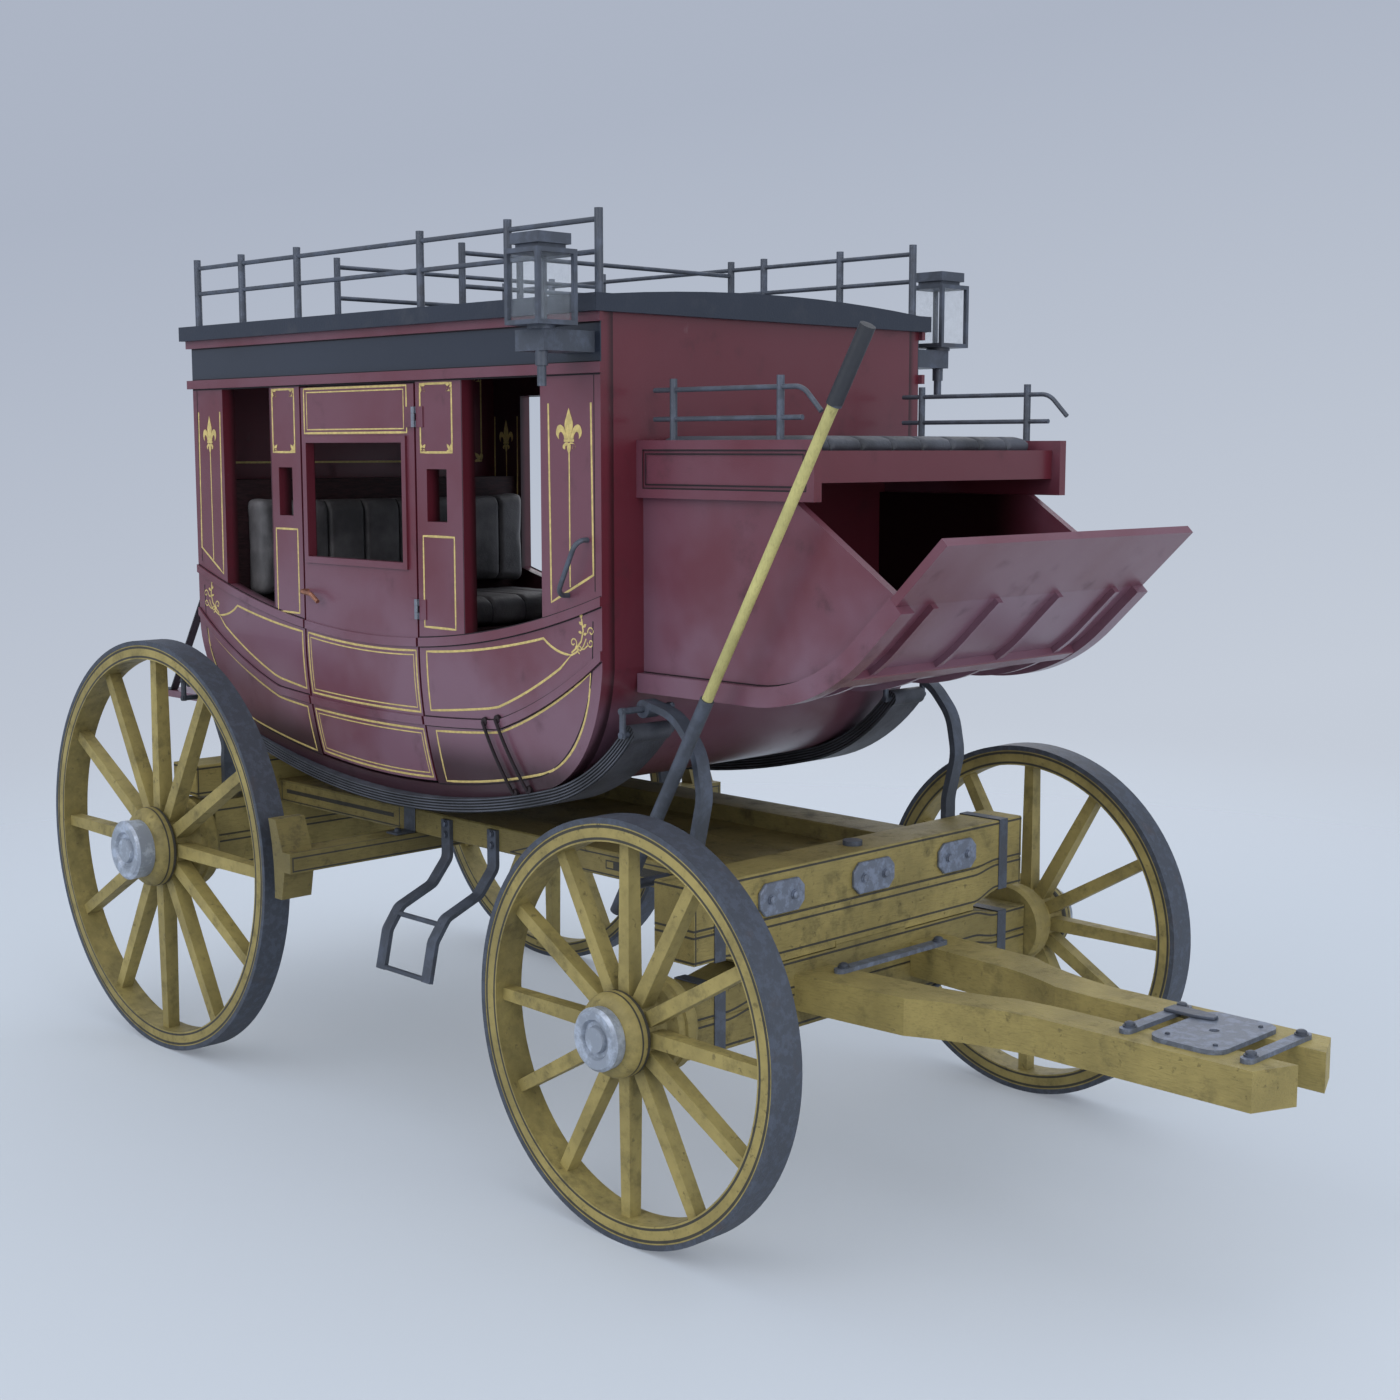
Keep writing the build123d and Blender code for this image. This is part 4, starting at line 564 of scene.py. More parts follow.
def pick(*objects):
    """Select only these objects and make the first active."""
    for thing in bpy.context.view_layer.objects:
        thing.select_set(False)
    for thing in objects:
        thing.select_set(True)
    bpy.context.view_layer.objects.active = objects[0] if objects else None


def shape(thing, kind, chosen, *steps):
    """In edit mode, select the faces or edges for which a test is true and run operators on them."""
    pick(thing)
    bpy.ops.object.mode_set(mode="EDIT")
    bpy.ops.mesh.select_mode(type=kind)
    bpy.ops.mesh.select_all(action="DESELECT")
    mesh = bmesh.from_edit_mesh(thing.data)
    for part in mesh.faces if kind == "FACE" else mesh.edges:
        part.select_set(bool(chosen(part)))
    bmesh.update_edit_mesh(thing.data)
    for step in steps:
        step()
    bpy.ops.object.mode_set(mode="OBJECT")


def modify(thing, kind, **settings):
    """Add a modifier and apply it."""
    pick(thing)
    made = thing.modifiers.new(kind.lower(), kind)
    for name, value in settings.items():
        setattr(made, name, value)
    bpy.ops.object.modifier_apply(modifier=made.name)


def settle(thing):
    """Move an object's place, turn and scale into its mesh."""
    pick(thing)
    bpy.ops.object.transform_apply(location=True, rotation=True, scale=True)
    return thing


def join(name, things):
    """Make one piece of several."""
    pick(*things)
    if len(things) > 1:
        bpy.ops.object.join()
    made = bpy.context.view_layer.objects.active
    made.name = name
    return settle(made)


def wear_finish(thing, finish, body="coach", angle=32):
    """Give a finished piece its material and the body it moves with."""
    thing.data.materials.clear()
    thing.data.materials.append(FINISHES[finish])
    pick(thing)
    bpy.ops.object.shade_smooth_by_angle(angle=math.radians(angle))
    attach(thing, body)


def block(low, high):
    """A block between two corners."""
    pick()
    low, high = Vector(low), Vector(high)
    bpy.ops.mesh.primitive_cube_add(size=1, location=(low + high) / 2, scale=high - low)
    return settle(bpy.context.object)


def chamfer(thing, width):
    """Cut an iron's or a board's edges back a little."""
    modify(thing, "BEVEL", width=width, segments=1)
    return thing


def hoop(low, high, is_open):
    """An iron strap bent round a block, whose faces that pass a test are open."""
    made = block(low, high)
    shape(made, "FACE", is_open, lambda: bpy.ops.mesh.delete(type="FACE"))
    modify(made, "SOLIDIFY", thickness=STRAP_IRON, offset=1.0)
    return chamfer(made, 0.0012)


def aim(place, out=(0, 0, 1)):
    """A matrix that puts a shape at a place with its top pointing out."""
    return Matrix.Translation(place) @ Vector(out).to_track_quat("Z", "Y").to_matrix().to_4x4()


def bolts(radius, washer, places):
    """Domed bolt heads on washers, each with its own mesh, at the given matrices."""
    pick()
    bpy.ops.mesh.primitive_cylinder_add(
        vertices=12, radius=radius * washer, depth=radius * 0.3, location=(0, 0, radius * 0.15)
    )
    head = settle(bpy.context.object)

    def dome():
        bpy.ops.mesh.inset(thickness=radius * (washer - 1))
        for rise in (0.45, 0.25):
            bpy.ops.mesh.extrude_region_move(TRANSFORM_OT_translate={"value": (0, 0, radius * rise)})
        bpy.ops.transform.resize(value=(0.55, 0.55, 1))

    shape(head, "FACE", lambda f: f.normal.z > 0.9, dome)
    made = []
    for place in places:
        twin = link("bolt", head.data.copy())
        twin.data.transform(place)
        made.append(twin)
    bpy.data.objects.remove(head)
    return made


def link(name, data):
    """A new object in the scene."""
    thing = bpy.data.objects.new(name, data)
    bpy.context.collection.objects.link(thing)
    return thing


def new_curve(name, **settings):
    """A curve object with no spline yet."""
    curve = bpy.data.curves.new(name, "CURVE")
    for key, value in settings.items():
        setattr(curve, key, value)
    return link(name, curve)


def spline(thing, kind, places, closed=False):
    """A new spline of a curve object through places, and the spline's points."""
    run = thing.data.splines.new(kind)
    spots = run.bezier_points if kind == "BEZIER" else run.points
    spots.add(len(places) - 1)
    run.use_cyclic_u = closed
    for spot, place in zip(spots, places):
        spot.co = place
    return run, spots


def rod(name, points, radius):
    """A round iron that runs smoothly through a few points."""
    ends = {"use_fill_caps": True, "resolution_u": 6}
    thing = new_curve(name, dimensions="3D", bevel_depth=radius, bevel_resolution=2, **ends)
    run, _ = spline(thing, "NURBS", [(*point, 1) for point in points])
    run.order_u = 3
    run.use_endpoint_u = True
    pick(thing)
    bpy.ops.object.convert(target="MESH")
    return bpy.context.object


# Curves of the sides


def circle_through(points):
    """Centre and radius of the circle through three points."""
    (ax, az), (bx, bz), (cx, cz) = points
    a2, b2, c2 = ax * ax + az * az, bx * bx + bz * bz, cx * cx + cz * cz
    double = 2 * (ax * (bz - cz) + bx * (cz - az) + cx * (az - bz))
    x = (a2 * (bz - cz) + b2 * (cz - az) + c2 * (az - bz)) / double
    z = (a2 * (cx - bx) + b2 * (ax - cx) + c2 * (bx - ax)) / double
    return x, z, math.hypot(ax - x, az - z)


def low_side(points, offset):
    """Height of the lower side of a circle at an offset."""
    x, z, radius = circle_through(points)
    return z - math.sqrt(max(0.0, radius**2 - (offset - x) ** 2))


def along_arcs(middle, end):
    """The height along a middle arc and an arc past it, at an offset either way, plus a lift."""

    def height(offset, lift):
        arc = middle if abs(offset) < middle[2][0] else end
        return low_side(arc, abs(offset)) + lift

    return height


upper_belt = along_arcs(UPPER_BELT, UPPER_BELT)
lower_belt = along_arcs(LOWER_BELT_MIDDLE, LOWER_BELT_END)
hull_edge = along_arcs(BELLY, BILGE)


def follow(curve, start, end, lift=0.0, late=None, steps=14):
    """Points along a curve of the sides from one offset to another, its lift changing to a later one."""
    late = lift if late is None else late
    points = []
    for share in (step / steps for step in range(steps + 1)):
        offset = start + share * (end - start)
        points.append((offset, curve(offset, lift + share * (late - lift))))
    return points


def bow(a, b, c, steps=10):
    """Points on the arc through three points."""
    x, z, radius = circle_through((a, b, c))
    start, middle, end = (math.atan2(point[1] - z, point[0] - x) for point in (a, b, c))
    forward = math.remainder(middle - start, math.tau) > 0
    sweep = (end - start) % math.tau if forward else -((start - end) % math.tau)
    angles = [start + sweep * step / steps for step in range(steps + 1)]
    return [(x + radius * math.cos(angle), z + radius * math.sin(angle)) for angle in angles]


def box_line(x1, x2, z1, z2):
    return [(x1, z1), (x2, z1), (x2, z2), (x1, z2)]


def long_run(a, b, step=0.035):
    """Points between two, close enough to follow a curved wall."""
    count = max(1, int(math.dist(a, b) / step))
    return [(a[0] + (b[0] - a[0]) * k / count, a[1] + (b[1] - a[1]) * k / count) for k in range(count + 1)]


def wall_out(z):
    """How far out the outer face of a side is at a height."""
    y, middle, radius = circle_through(TURN_UNDER)
    return WALL if z > TURN_UNDER[0][1] else y + math.sqrt(radius**2 - (z - middle) ** 2)


def on_side(side, inner=False):
    """Press onto the outer or inner face of a side."""

    def press(x, z, up):
        out = INNER_WALL - LIFT - up if inner else wall_out(z) + LIFT + up
        return Vector((MID + x, side * out, z))

    return press


class Art:
    """Lines and filled leaves drawn flat, offset along X and height, and then pressed onto a wall."""

    def __init__(self, width):
        self.width = width
        self.lines = []
        self.leaves = []

    def line(self, points, closed=False, width=1.0):
        """A line through points, with more between them so that it can follow a curved wall."""
        dense = [points[0]]
        for a, b in zip(points, [*points[1:], points[0]] if closed else points[1:]):
            dense += long_run(a, b)[1:]
        self.lines.append((dense[:-1] if closed else dense, closed, width))

    def leaf(self, points):
        """A filled leaf through points, smooth except where a point has a third number."""
        self.leaves.append(points)

    def make(self, name, press):
        """The finished mesh; press turns a flat point and its height off the wall into a place."""
        half = self.width / 2
        things = [new_curve(name, dimensions="3D", bevel_depth=half, bevel_resolution=0)]
        for points, closed, width in self.lines:
            for spot in spline(things[0], "POLY", [(x, z, 0, 1) for x, z in points], closed)[1]:
                spot.radius = width
        if self.leaves:
            fill = {"dimensions": "2D", "fill_mode": "BOTH", "extrude": half, "resolution_u": 4}
            things.append(new_curve(f"{name}_leaves", **fill))
            for points in self.leaves:
                spots = spline(things[1], "BEZIER", [(x, z, 0) for x, z, *_ in points], True)[1]
                for spot, point in zip(spots, points):
                    spot.handle_left_type = spot.handle_right_type = "VECTOR" if len(point) > 2 else "AUTO"
        pick(*things)
        bpy.ops.object.convert(target="MESH")
        made = join(name, things)
        for spot in made.data.vertices:
            spot.co = press(spot.co.x, spot.co.y, spot.co.z * FLAT)
        shape(made, "FACE", lambda _: True, lambda: bpy.ops.mesh.normals_make_consistent(inside=False))
        return made


# A lily's petals, band and foot: distance across, height over the band, and 1 where a point is sharp
LILY_MIDDLE = (
    ((0, 97, 1), (7, 75), (14, 48), (8, 20), (4, 4, 1), (-4, 4, 1), (-8, 20), (-14, 48), (-7, 75)),
    ((-17, 4, 1), (17, 4, 1), (17, -4, 1), (-17, -4, 1)),
    ((-5, -5, 1), (0, -8), (5, -5, 1), (6, -24), (0, -42, 1), (-6, -24)),
)
LILY_FLANK = (
    (
        *((5, 5, 1), (10, 24), (20, 42), (33, 47), (42, 34), (42, 16)),
        *((34, 4, 1), (34, 18), (28, 26), (20, 20), (15, 5, 1)),
    ),
    ((5, -5, 1), (15, -8), (21, -20), (13, -26), (12, -17), (7, -15)),
)


def lily(art, x, top, foot, size, tail):
    """A lily ornament: three petals, a band and a foot, on a long stem."""
    unit = (top - foot) / 137.0
    band = foot + 40 * unit
    for way, leaves in ((1, LILY_MIDDLE), (1, LILY_FLANK), (-1, LILY_FLANK)):
        for leaf in leaves:
            art.leaf([(x + way * u * unit * size, band + v * unit, *sharp) for u, v, *sharp in leaf])
    art.line([(x, foot + 4 * unit), (x, tail)], width=0.75)


def blade(art, x, z, turn, reach, half, belly=0.5):
    """A slim leaf from a point along a turn in degrees, widest at a share of its reach."""
    along_x, along_z = math.cos(math.radians(turn)), math.sin(math.radians(turn))
    middle_x, middle_z = x + along_x * reach * belly, z + along_z * reach * belly
    out_x, out_z = -along_z * half, along_x * half
    tip = (x + along_x * reach, z + along_z * reach, 1)
    art.leaf([(x, z, 1), (middle_x + out_x, middle_z + out_z), tip, (middle_x - out_x, middle_z - out_z)])


def sprig(art, x, z, turn, size):
    """Three small leaves that spread from a corner."""
    for bend, length in ((-42, 0.75), (0, 1.0), (42, 0.75)):
        blade(art, x, z, turn + bend, size * length, size * 0.17, 0.6)


def sprig_panel(art, low, high, bottom, top, size, inset=0.0):
    """A lined panel with a sprig in each corner."""
    corners = box_line(low, high, bottom, top)
    art.line(corners, True)
    for (x, z), turn in zip(corners, (45, 135, 225, 315)):
        angle = math.radians(turn)
        sprig(art, x + inset * math.cos(angle), z + inset * math.sin(angle), turn, size)


def coil(art, x, z, radius, turn, sweep, shrink=0.25, width=0.55, steps=18):
    """A small spiral line."""
    points = []
    for share in (step / steps for step in range(steps + 1)):
        angle = math.radians(turn + sweep * share)
        reach = radius * (1 - (1 - shrink) * share)
        points.append((x + reach * math.cos(angle), z + reach * math.sin(angle)))
    art.line(points, width=width)


# Foliage from its root: the stem, the leaves with turn and length, the coils with radius, turn and sweep
FOLIAGE_STEM = ((-0.04, -0.012), (-0.02, 0.002), (0.0, 0.022), (0.008, 0.05), (0.002, 0.082))
FOLIAGE_LEAVES = (
    (0.002, 0.082, 100, 0.022),
    (0.006, 0.066, 150, 0.017),
    (0.008, 0.06, 35, 0.017),
    (0.004, 0.044, 165, 0.015),
    (0.009, 0.04, 20, 0.015),
)
FOLIAGE_COILS = (
    (-0.032, 0.016, 0.015, -60, 400),
    (-0.006, 0.0, 0.012, -90, -380),
    (0.04, 0.05, 0.014, 200, -380),
    (0.038, 0.02, 0.013, 180, 380),
)


def foliage(art, way, root_x=0.948, root_z=1.481):
    """Curled foliage in the corner above the front or rear quarter panel."""

    def at(u, v):
        return (way * root_x + way * u, root_z + v)

    def mirrored(turn):
        return turn if way > 0 else 180 - turn

    art.line([at(*point) for point in FOLIAGE_STEM], width=0.8)
    for u, v, turn, size in FOLIAGE_LEAVES:
        blade(art, *at(u, v), mirrored(turn), size, -size * 0.26)
    for u, v, radius, turn, sweep in FOLIAGE_COILS:
        coil(art, *at(u, v), radius, mirrored(turn), sweep * way)
    for u, v in ((0.02, 0.03), (0.026, 0.012)):
        art.line([at(0.0, 0.0), at(u / 2, v / 2 - 0.004), at(u, v)], width=0.6)


def quarter_panels(art, way, start):
    """The two lined panels of the cabin's lower side between the door and one end."""
    upper = follow(upper_belt, way * start, way * 0.79, -0.041, -0.055)
    notch = bow((way * 0.79, upper[-1][1]), (way * 0.838, 1.474), (way * 0.906, 1.462), 6)
    lower = follow(lower_belt, way * 0.906, way * start, 0.052, 0.02)
    art.line(upper + notch[1:] + lower[1:], True)
    art.line([(way * 0.906, 1.462), (way * 0.925, 1.470), (way * 0.94, 1.482)], width=0.8)
    inner = way * (start + 0.012)
    top = follow(lower_belt, way * 0.985, inner, -0.03, -0.042)
    bottom = follow(hull_edge, inner, way * 0.78, 0.05, 0.046)
    bilge = bow((way * 0.78, bottom[-1][1]), (way * 0.92, 1.235), (way * 0.985, 1.405), 10)
    art.line(top + bottom + bilge[1:-1], True)


def pillar_lines(art, way, middle, inner, outer, low_inner, low_outer, size, top=2.14, lean=0.006):
    """The lily on a corner pillar, with a line up each side of it that is joined along the belt."""
    lily(art, middle, 2.127, 2.005, size, 1.647)
    shift = way * lean
    art.line([(inner, top), (inner + shift, low_inner), (outer + shift, low_outer), (outer, top)])


def wall_art(art, lower=True):
    """The gold lines of a cabin side."""
    pillar_lines(art, 1, 0.9045, 0.8195, 0.9935, 1.602, 1.684, 1.35)
    pillar_lines(art, -1, -0.9325, -0.8655, -0.9995, 1.603, 1.687, 1.05)
    for low, high in ((-0.5465, -0.4215), (0.2415, 0.3915)):
        sprig_panel(art, low, high, *HEAD_PANEL, 0.03, 0.004)
        art.line(box_line(low + 0.005, high + 0.004, *WAIST_PANEL), True)
    if lower:
        for way, start in ((1, 0.253), (-1, 0.405)):
            quarter_panels(art, way, start)
            foliage(art, way)


def inner_art(art):
    """The gold lines inside a cabin side, above the seats."""
    wall_art(art, lower=False)


def door_art(art):
    """The double gold lines of a door."""
    low, high, fine = DOOR_LOW, DOOR_HIGH, 0.6
    art.line(box_line(low + 0.007, high - 0.026, 2.0665, 2.2035), True)
    art.line(box_line(low + 0.022, high - 0.041, 2.0775, 2.1925), True, fine)
    for above, top_lift, below, low_lift in (
        (upper_belt, -0.038, lower_belt, 0.012),
        (lower_belt, -0.041, hull_edge, 0.06),
    ):
        for inset, share in ((0.0, 1.0), (0.013, fine)):
            top = follow(above, low + inset, high - inset, top_lift - inset)
            bottom = follow(below, high - inset, low + inset, low_lift + inset)
            art.line(top + bottom, True, share)


def shadow_line_art(art, gap=0.0015, end=1.03):
    """Dark lines of painted shadow beside the belts, along the bottom rail, down the posts and along the band."""
    for curve in (upper_belt, lower_belt):
        for lift in (gap, -BELT - gap):
            art.line(follow(curve, -end, -0.392, lift, steps=20))
            art.line(follow(curve, 0.221, end, lift, steps=20))
    for way, start in ((1, 0.222), (-1, 0.393)):
        rail = bow((way * 0.72, hull_edge(0.72, 0.04)), (way * 0.9175, 1.243), (way * 0.9925, 1.43), 12)
        art.line(follow(hull_edge, way * start, way * 0.72, 0.04) + rail[1:] + [(way * 0.9965, 1.56)])
    posts = ((-1.006, 1.64, 0.8), (1.006, 1.64, 0.8), (-0.5595, 1.485, 0.6), (0.437, 1.485, 0.6))
    for x, foot, share in posts:
        art.line([(x, foot), (x, POST_TOP)], width=share)
    for z in (2.2145, 2.2465, 2.3485):
        art.line([(-end, z), (end, z)])


def box_art(art, half=0.321, tall=0.153):
    """Dark lines of painted shadow round the sunk panel on the side of the seat box, from its middle and its
    lower edge.
    """
    for inset in (0.026, 0.036):
        art.line(box_line(-half + inset, half - inset, inset, tall - inset), True)


def boot_art(art, steps=10):
    """A dark line of painted shadow along the boot's bottom rail, from the front axle and from the boot's lowest
    line.
    """
    centre_x, centre_z, rail = 0.106, 0.548, 0.0535
    rise, reach = math.radians(44.5), centre_z - rail
    angles = [rise * step / steps for step in range(steps + 1)]
    bend = [(centre_x + reach * math.sin(turn), centre_z - reach * math.cos(turn)) for turn in angles]
    end = (bend[-1][0] + 0.15 * math.cos(rise), bend[-1][1] + 0.15 * math.sin(rise))
    art.line([(-0.318, rail), *bend, end])


def end_art(art):
    """The gold lines of the front or rear wall, inside the cabin."""
    sprig_panel(art, -0.55, 0.55, 1.972, 2.3, 0.045)


def paint_lines(name, draw, width, press, finish="gold_paint", body="coach"):
    """Draw lines flat, press them onto a wall and give them their finish."""
    art = Art(width)
    draw(art)
    wear_finish(art.make(name, press), finish, body)


# Stuffed seats


def stuffed(name, low, high, voxel, swell, steps, grooves):
    """A cushion: a block, remeshed, blown up as cloth, kept within its place, then sewn into channels."""
    low, high = Vector(low), Vector(high)
    ease = Vector((0.009, 0.009, 0.009))
    thing = block(low + ease, high - ease)
    thing.name = name
    modify(thing, "BEVEL", width=0.022, segments=3)
    modify(thing, "REMESH", mode="VOXEL", voxel_size=voxel)
    rest = [spot.co.copy() for spot in thing.data.vertices]
    pick(thing)
    cloth = thing.modifiers.new("cloth", "CLOTH")
    cloth.settings.use_pressure = True
    cloth.settings.uniform_pressure_force = 4.0
    cloth.settings.effector_weights.gravity = 0.0
    cloth.settings.quality = 4
    cloth.point_cache.frame_start = 1
    cloth.point_cache.frame_end = steps
    for step in range(1, steps + 1):
        bpy.context.scene.frame_set(step)
    bpy.ops.object.modifier_apply(modifier="cloth")
    bpy.context.scene.frame_set(1)
    for spot, was in zip(thing.data.vertices, rest):
        move = spot.co - was
        if move.length > swell:
            move *= swell / move.length
        place = was + move
        spot.co = Vector(max(low[k], min(high[k], place[k])) for k in range(3))
    modify(thing, "SMOOTH", factor=0.5, iterations=4)
    modify(thing, "SUBSURF", levels=1, render_levels=1)
    middle = (low + high) / 2
    for spot in thing.data.vertices:
        spot.co += grooves(spot.co, middle)
    return thing


def channel_depth(y, pitch, start, width=0.007):
    """How deep a sewn channel is at a distance across, from 0 to 1."""
    place = (y + start) % pitch
    return math.exp(-((min(place, pitch - place) / width) ** 2))


class COACH_OT_finishes(Operator):
    """Give every node of the frame its finish"""

    bl_idname = "coach.finishes"
    bl_label = "Finishes"

    def execute(self, context):
        colours, sizes = context.scene.coach_colours, context.scene.coach_sizes
        wine_finish(colours)
        wine_finish(colours, "wine_and_band", band=True, hollow=cabin_hollow)
        wine_finish(colours, "boot_paint", hollow=boot_hollow, fade=1.5)
        wine_finish(colours, "hinge_paint", pins=True)
        slate_finish(colours)

        iron = colours.iron
        iron_finish("iron", iron, 0.42)
        iron_finish("lever_iron", iron, 0.45, grip=2.115)
        iron_finish("tyre_iron", shade(iron, 0.9), 0.5, rust=0.2, scale=2.4)
        iron_finish("plate_iron", shade(iron, 2.3), 0.45, rust=0.1, scale=2.0)
        # A lighter copy of the iron for the hound irons, painted lighter for the light on their tops
        iron_finish("lit_iron", shade(iron, 1.9), 0.4, rust=0.1, scale=2.0)
        iron_finish("cap_metal", colours.bright, 0.34, rust=0.1)

        # Levels of the beams' lines, each with its shift at the beam's ends
        mustard = colours.mustard
        levels = ((0.9, 0.0), (0.7795, 0.012), (0.7575, 0.016), (0.6775, 0.03))
        beam_finish(shade(mustard, 0.9), "front_bolster_paint", levels, dirt=0.5, ends=0.693)
        levels = ((0.6415, -0.0215), (0.573, -0.016), (0.551, -0.016), (0.4675, 0.0))
        beam_finish(shade(mustard, 0.74), "front_bed_paint", levels, dirt=0.5)
        levels = ((0.947, 0.0), (0.842, 0.022))
        beam_finish(mustard, "rear_bolster_paint", levels, ends=0.763)
        levels = ((0.818, -0.02), (0.723, -0.012), (0.701, -0.012), (0.608, 0.0))
        beam_finish(mustard, "rear_bed_paint", levels)

        # Black frames: the axis they face, their own two axes, their ends and heights, a bar, a slope
        frames = (
            (1, "x", "z", AXLE - 2.23, AXLE - 1.542, 0.808, 0.874, 0.0065),
            (1, "x", "z", AXLE - 0.975, AXLE - 0.15, 0.808, 0.863, 0.0, 0.3),
            (1, "x", "z", AXLE - 0.541, AXLE - 0.26, 0.826, 0.848, 0.009),
        )
        lengthwise = (1, 8, 8)
        beam_finish(shade(mustard, 0.66), "perch_paint", (), lengthwise, frames, dirt=0.6, reach=0.449)
        frames = (
            (0, "y", "z", -0.915, 0.915, 0.744, 0.785),
            (2, "x", "y", AXLE - 1.54, AXLE - 1.456, -0.9, 0.9),
        )
        beam_finish(shade(mustard, 0.54), "brake_paint", frames=frames, dirt=0.6)
        beam_finish(mustard, "hound_paint", along=lengthwise)
        beam_finish(SHAFT_PAINT, "shaft_paint", along=(8, 8, 1), dirt=0.1)
        wheel_finish(colours, "front_wheel_paint", FRONT_WHEEL, 1.0)
        wheel_finish(colours, "rear_wheel_paint", REAR_WHEEL, 1.2)

        leather_finish(shade(colours.leather, 2.1), "strap_leather", layers=True)
        # The seats wear leather painted lighter for the dim light inside the cabin
        leather_finish(LIT_SEAT_LEATHER, "seat_leather", (sizes.channel, sizes.channel * 4))
        leather_finish(shade(colours.leather, 1.45), "driver_leather", (TUFT, TUFT * 4))
        wood_finish("dark_wood", *DARK_WOOD, (8, 1, 8))
        wood_finish("floor_wood", *FLOOR_WOOD, (1, 9, 9))
        glass_finish()
        plain_finish("gold_paint", colours.gold, 0.42, low=0.85)
        plain_finish("copper", colours.copper, 0.3, metal=0.7)
        # Near black for the lines of painted shadow and for the front panels' rods
        plain_finish("shadow_line_and_rod_dark", SHADOW_LINE_AND_ROD_BLACK, 0.5)

        slots = {part["node"]: part["material_slot"] for part in frame["record"]["subparts"]}
        for name, thing in frame["nodes"].items():
            if name.startswith("wheel_"):
                finish = "front_wheel_paint" if "front" in name else "rear_wheel_paint"
            elif name.startswith("hub_cap"):
                finish = "cap_metal"
            else:
                finish = NODE_FINISHES.get(name) or SLOT_FINISHES[slots[name]]
            thing.data.materials.clear()
            thing.data.materials.append(FINISHES[finish])
        return {"FINISHED"}


class COACH_OT_seats(Operator):
    """Make the stuffed seats and backs of the cabin and the driver's cushion"""

    bl_idname = "coach.seats"
    bl_label = "Stuffed seats"

    def execute(self, context):
        sizes = context.scene.coach_sizes
        pitch = sizes.channel

        def quilted(spot, middle):
            deep = 0.010 * channel_depth(spot.y, pitch, pitch * 4)
            return Vector((0, 0, -deep if spot.z > middle.z else 0))

        for name, way in (("front", 1), ("rear", -1)):

            def sewn(spot, middle, way=way):
                deep = 0.012 * channel_depth(spot.y, pitch, pitch * 4)
                front = max(0.0, min(1.0, (middle.x - spot.x) * way * 30 + 0.6))
                return Vector((way * deep * front, 0, -deep * 0.6 if spot.z > middle.z + 0.15 else 0))

            for part, inner, bottom, top, voxel, grooves in (
                ("back", 0.7709, 1.5056, 1.878, 0.011, sewn),
                ("seat", 0.412, 1.4003, 1.5053, 0.012, quilted),
            ):
                near, far = sorted((MID + way * inner, MID + way * SEAT_END))
                low, high = (near, -SEAT_HALF, bottom), (far, SEAT_HALF, top)
                how = (voxel, sizes.swell, sizes.turns, grooves)
                thing = stuffed(f"{part}_cushion_{name}", low, high, *how)
                wear_finish(thing, "seat_leather", angle=60)
                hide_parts("cushions")

        def tufted(spot, middle):
            deep = 0.008 * channel_depth(spot.y, TUFT, TUFT * 4)
            front = 1 if spot.x > middle.x + 0.25 else 0
            return Vector((-deep * front, 0, -deep if spot.z > middle.z - 0.01 else 0))

        low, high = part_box("driver_cushion")
        thing = stuffed("driver_seat_cushion", low, high, 0.009, 0.014, sizes.turns, tufted)
        wear_finish(thing, "driver_leather", angle=60)
        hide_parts("driver_cushion")
        return {"FINISHED"}


class COACH_OT_lines(Operator):
    """Lay the gold lines, lilies and foliage on the sides and doors, with dark lines of painted shadow beside the
    belts
    """

    bl_idname = "coach.lines"
    bl_label = "Painted lines"

    def execute(self, context):
        sizes = context.scene.coach_sizes
        gold, dark = sizes.line, sizes.seam
        for word, side in SIDES:
            outer, inner = on_side(side), on_side(side, True)
            paint_lines(f"wall_lines_{word}", wall_art, gold, outer)
            paint_lines(f"inner_lines_{word}", inner_art, gold, inner)
            paint_lines(f"door_lines_{word}", door_art, gold, outer, body=f"door_{word}")
            # Dark lines of painted shadow beside the belts, along the rail, down the posts and along the band
            paint_lines(f"seams_{word}", shadow_line_art, dark, outer, "shadow_line_and_rod_dark")

        # Dark lines of painted shadow round the seat box's sunk panel and along the boot's rail
        seat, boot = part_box("driver_seat"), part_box("front_boot")
        for name, draw, foot, out in (
            ("seat_box_shadow_lines", box_art, seat[0].z, seat[1].y),
            ("boot_shadow_lines", boot_art, boot[0].z, 0.505),
        ):
            for word, side in SIDES:

                def press(x, z, up, side=side, foot=foot, out=out):
                    return Vector((AXLE + x, side * (out + LIFT + up), foot + z))

                paint_lines(f"{name}_{word}", draw, dark, press, "shadow_line_and_rod_dark")

        for name, x, way in (("rear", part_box("rear_wall")[1].x, 1), ("front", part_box("front_wall")[0].x, -1)):

            def press(y, z, up, x=x, way=way):
                return Vector((x + way * (up + LIFT), y, z))

            paint_lines(f"end_lines_{name}", end_art, gold, press)
        return {"FINISHED"}


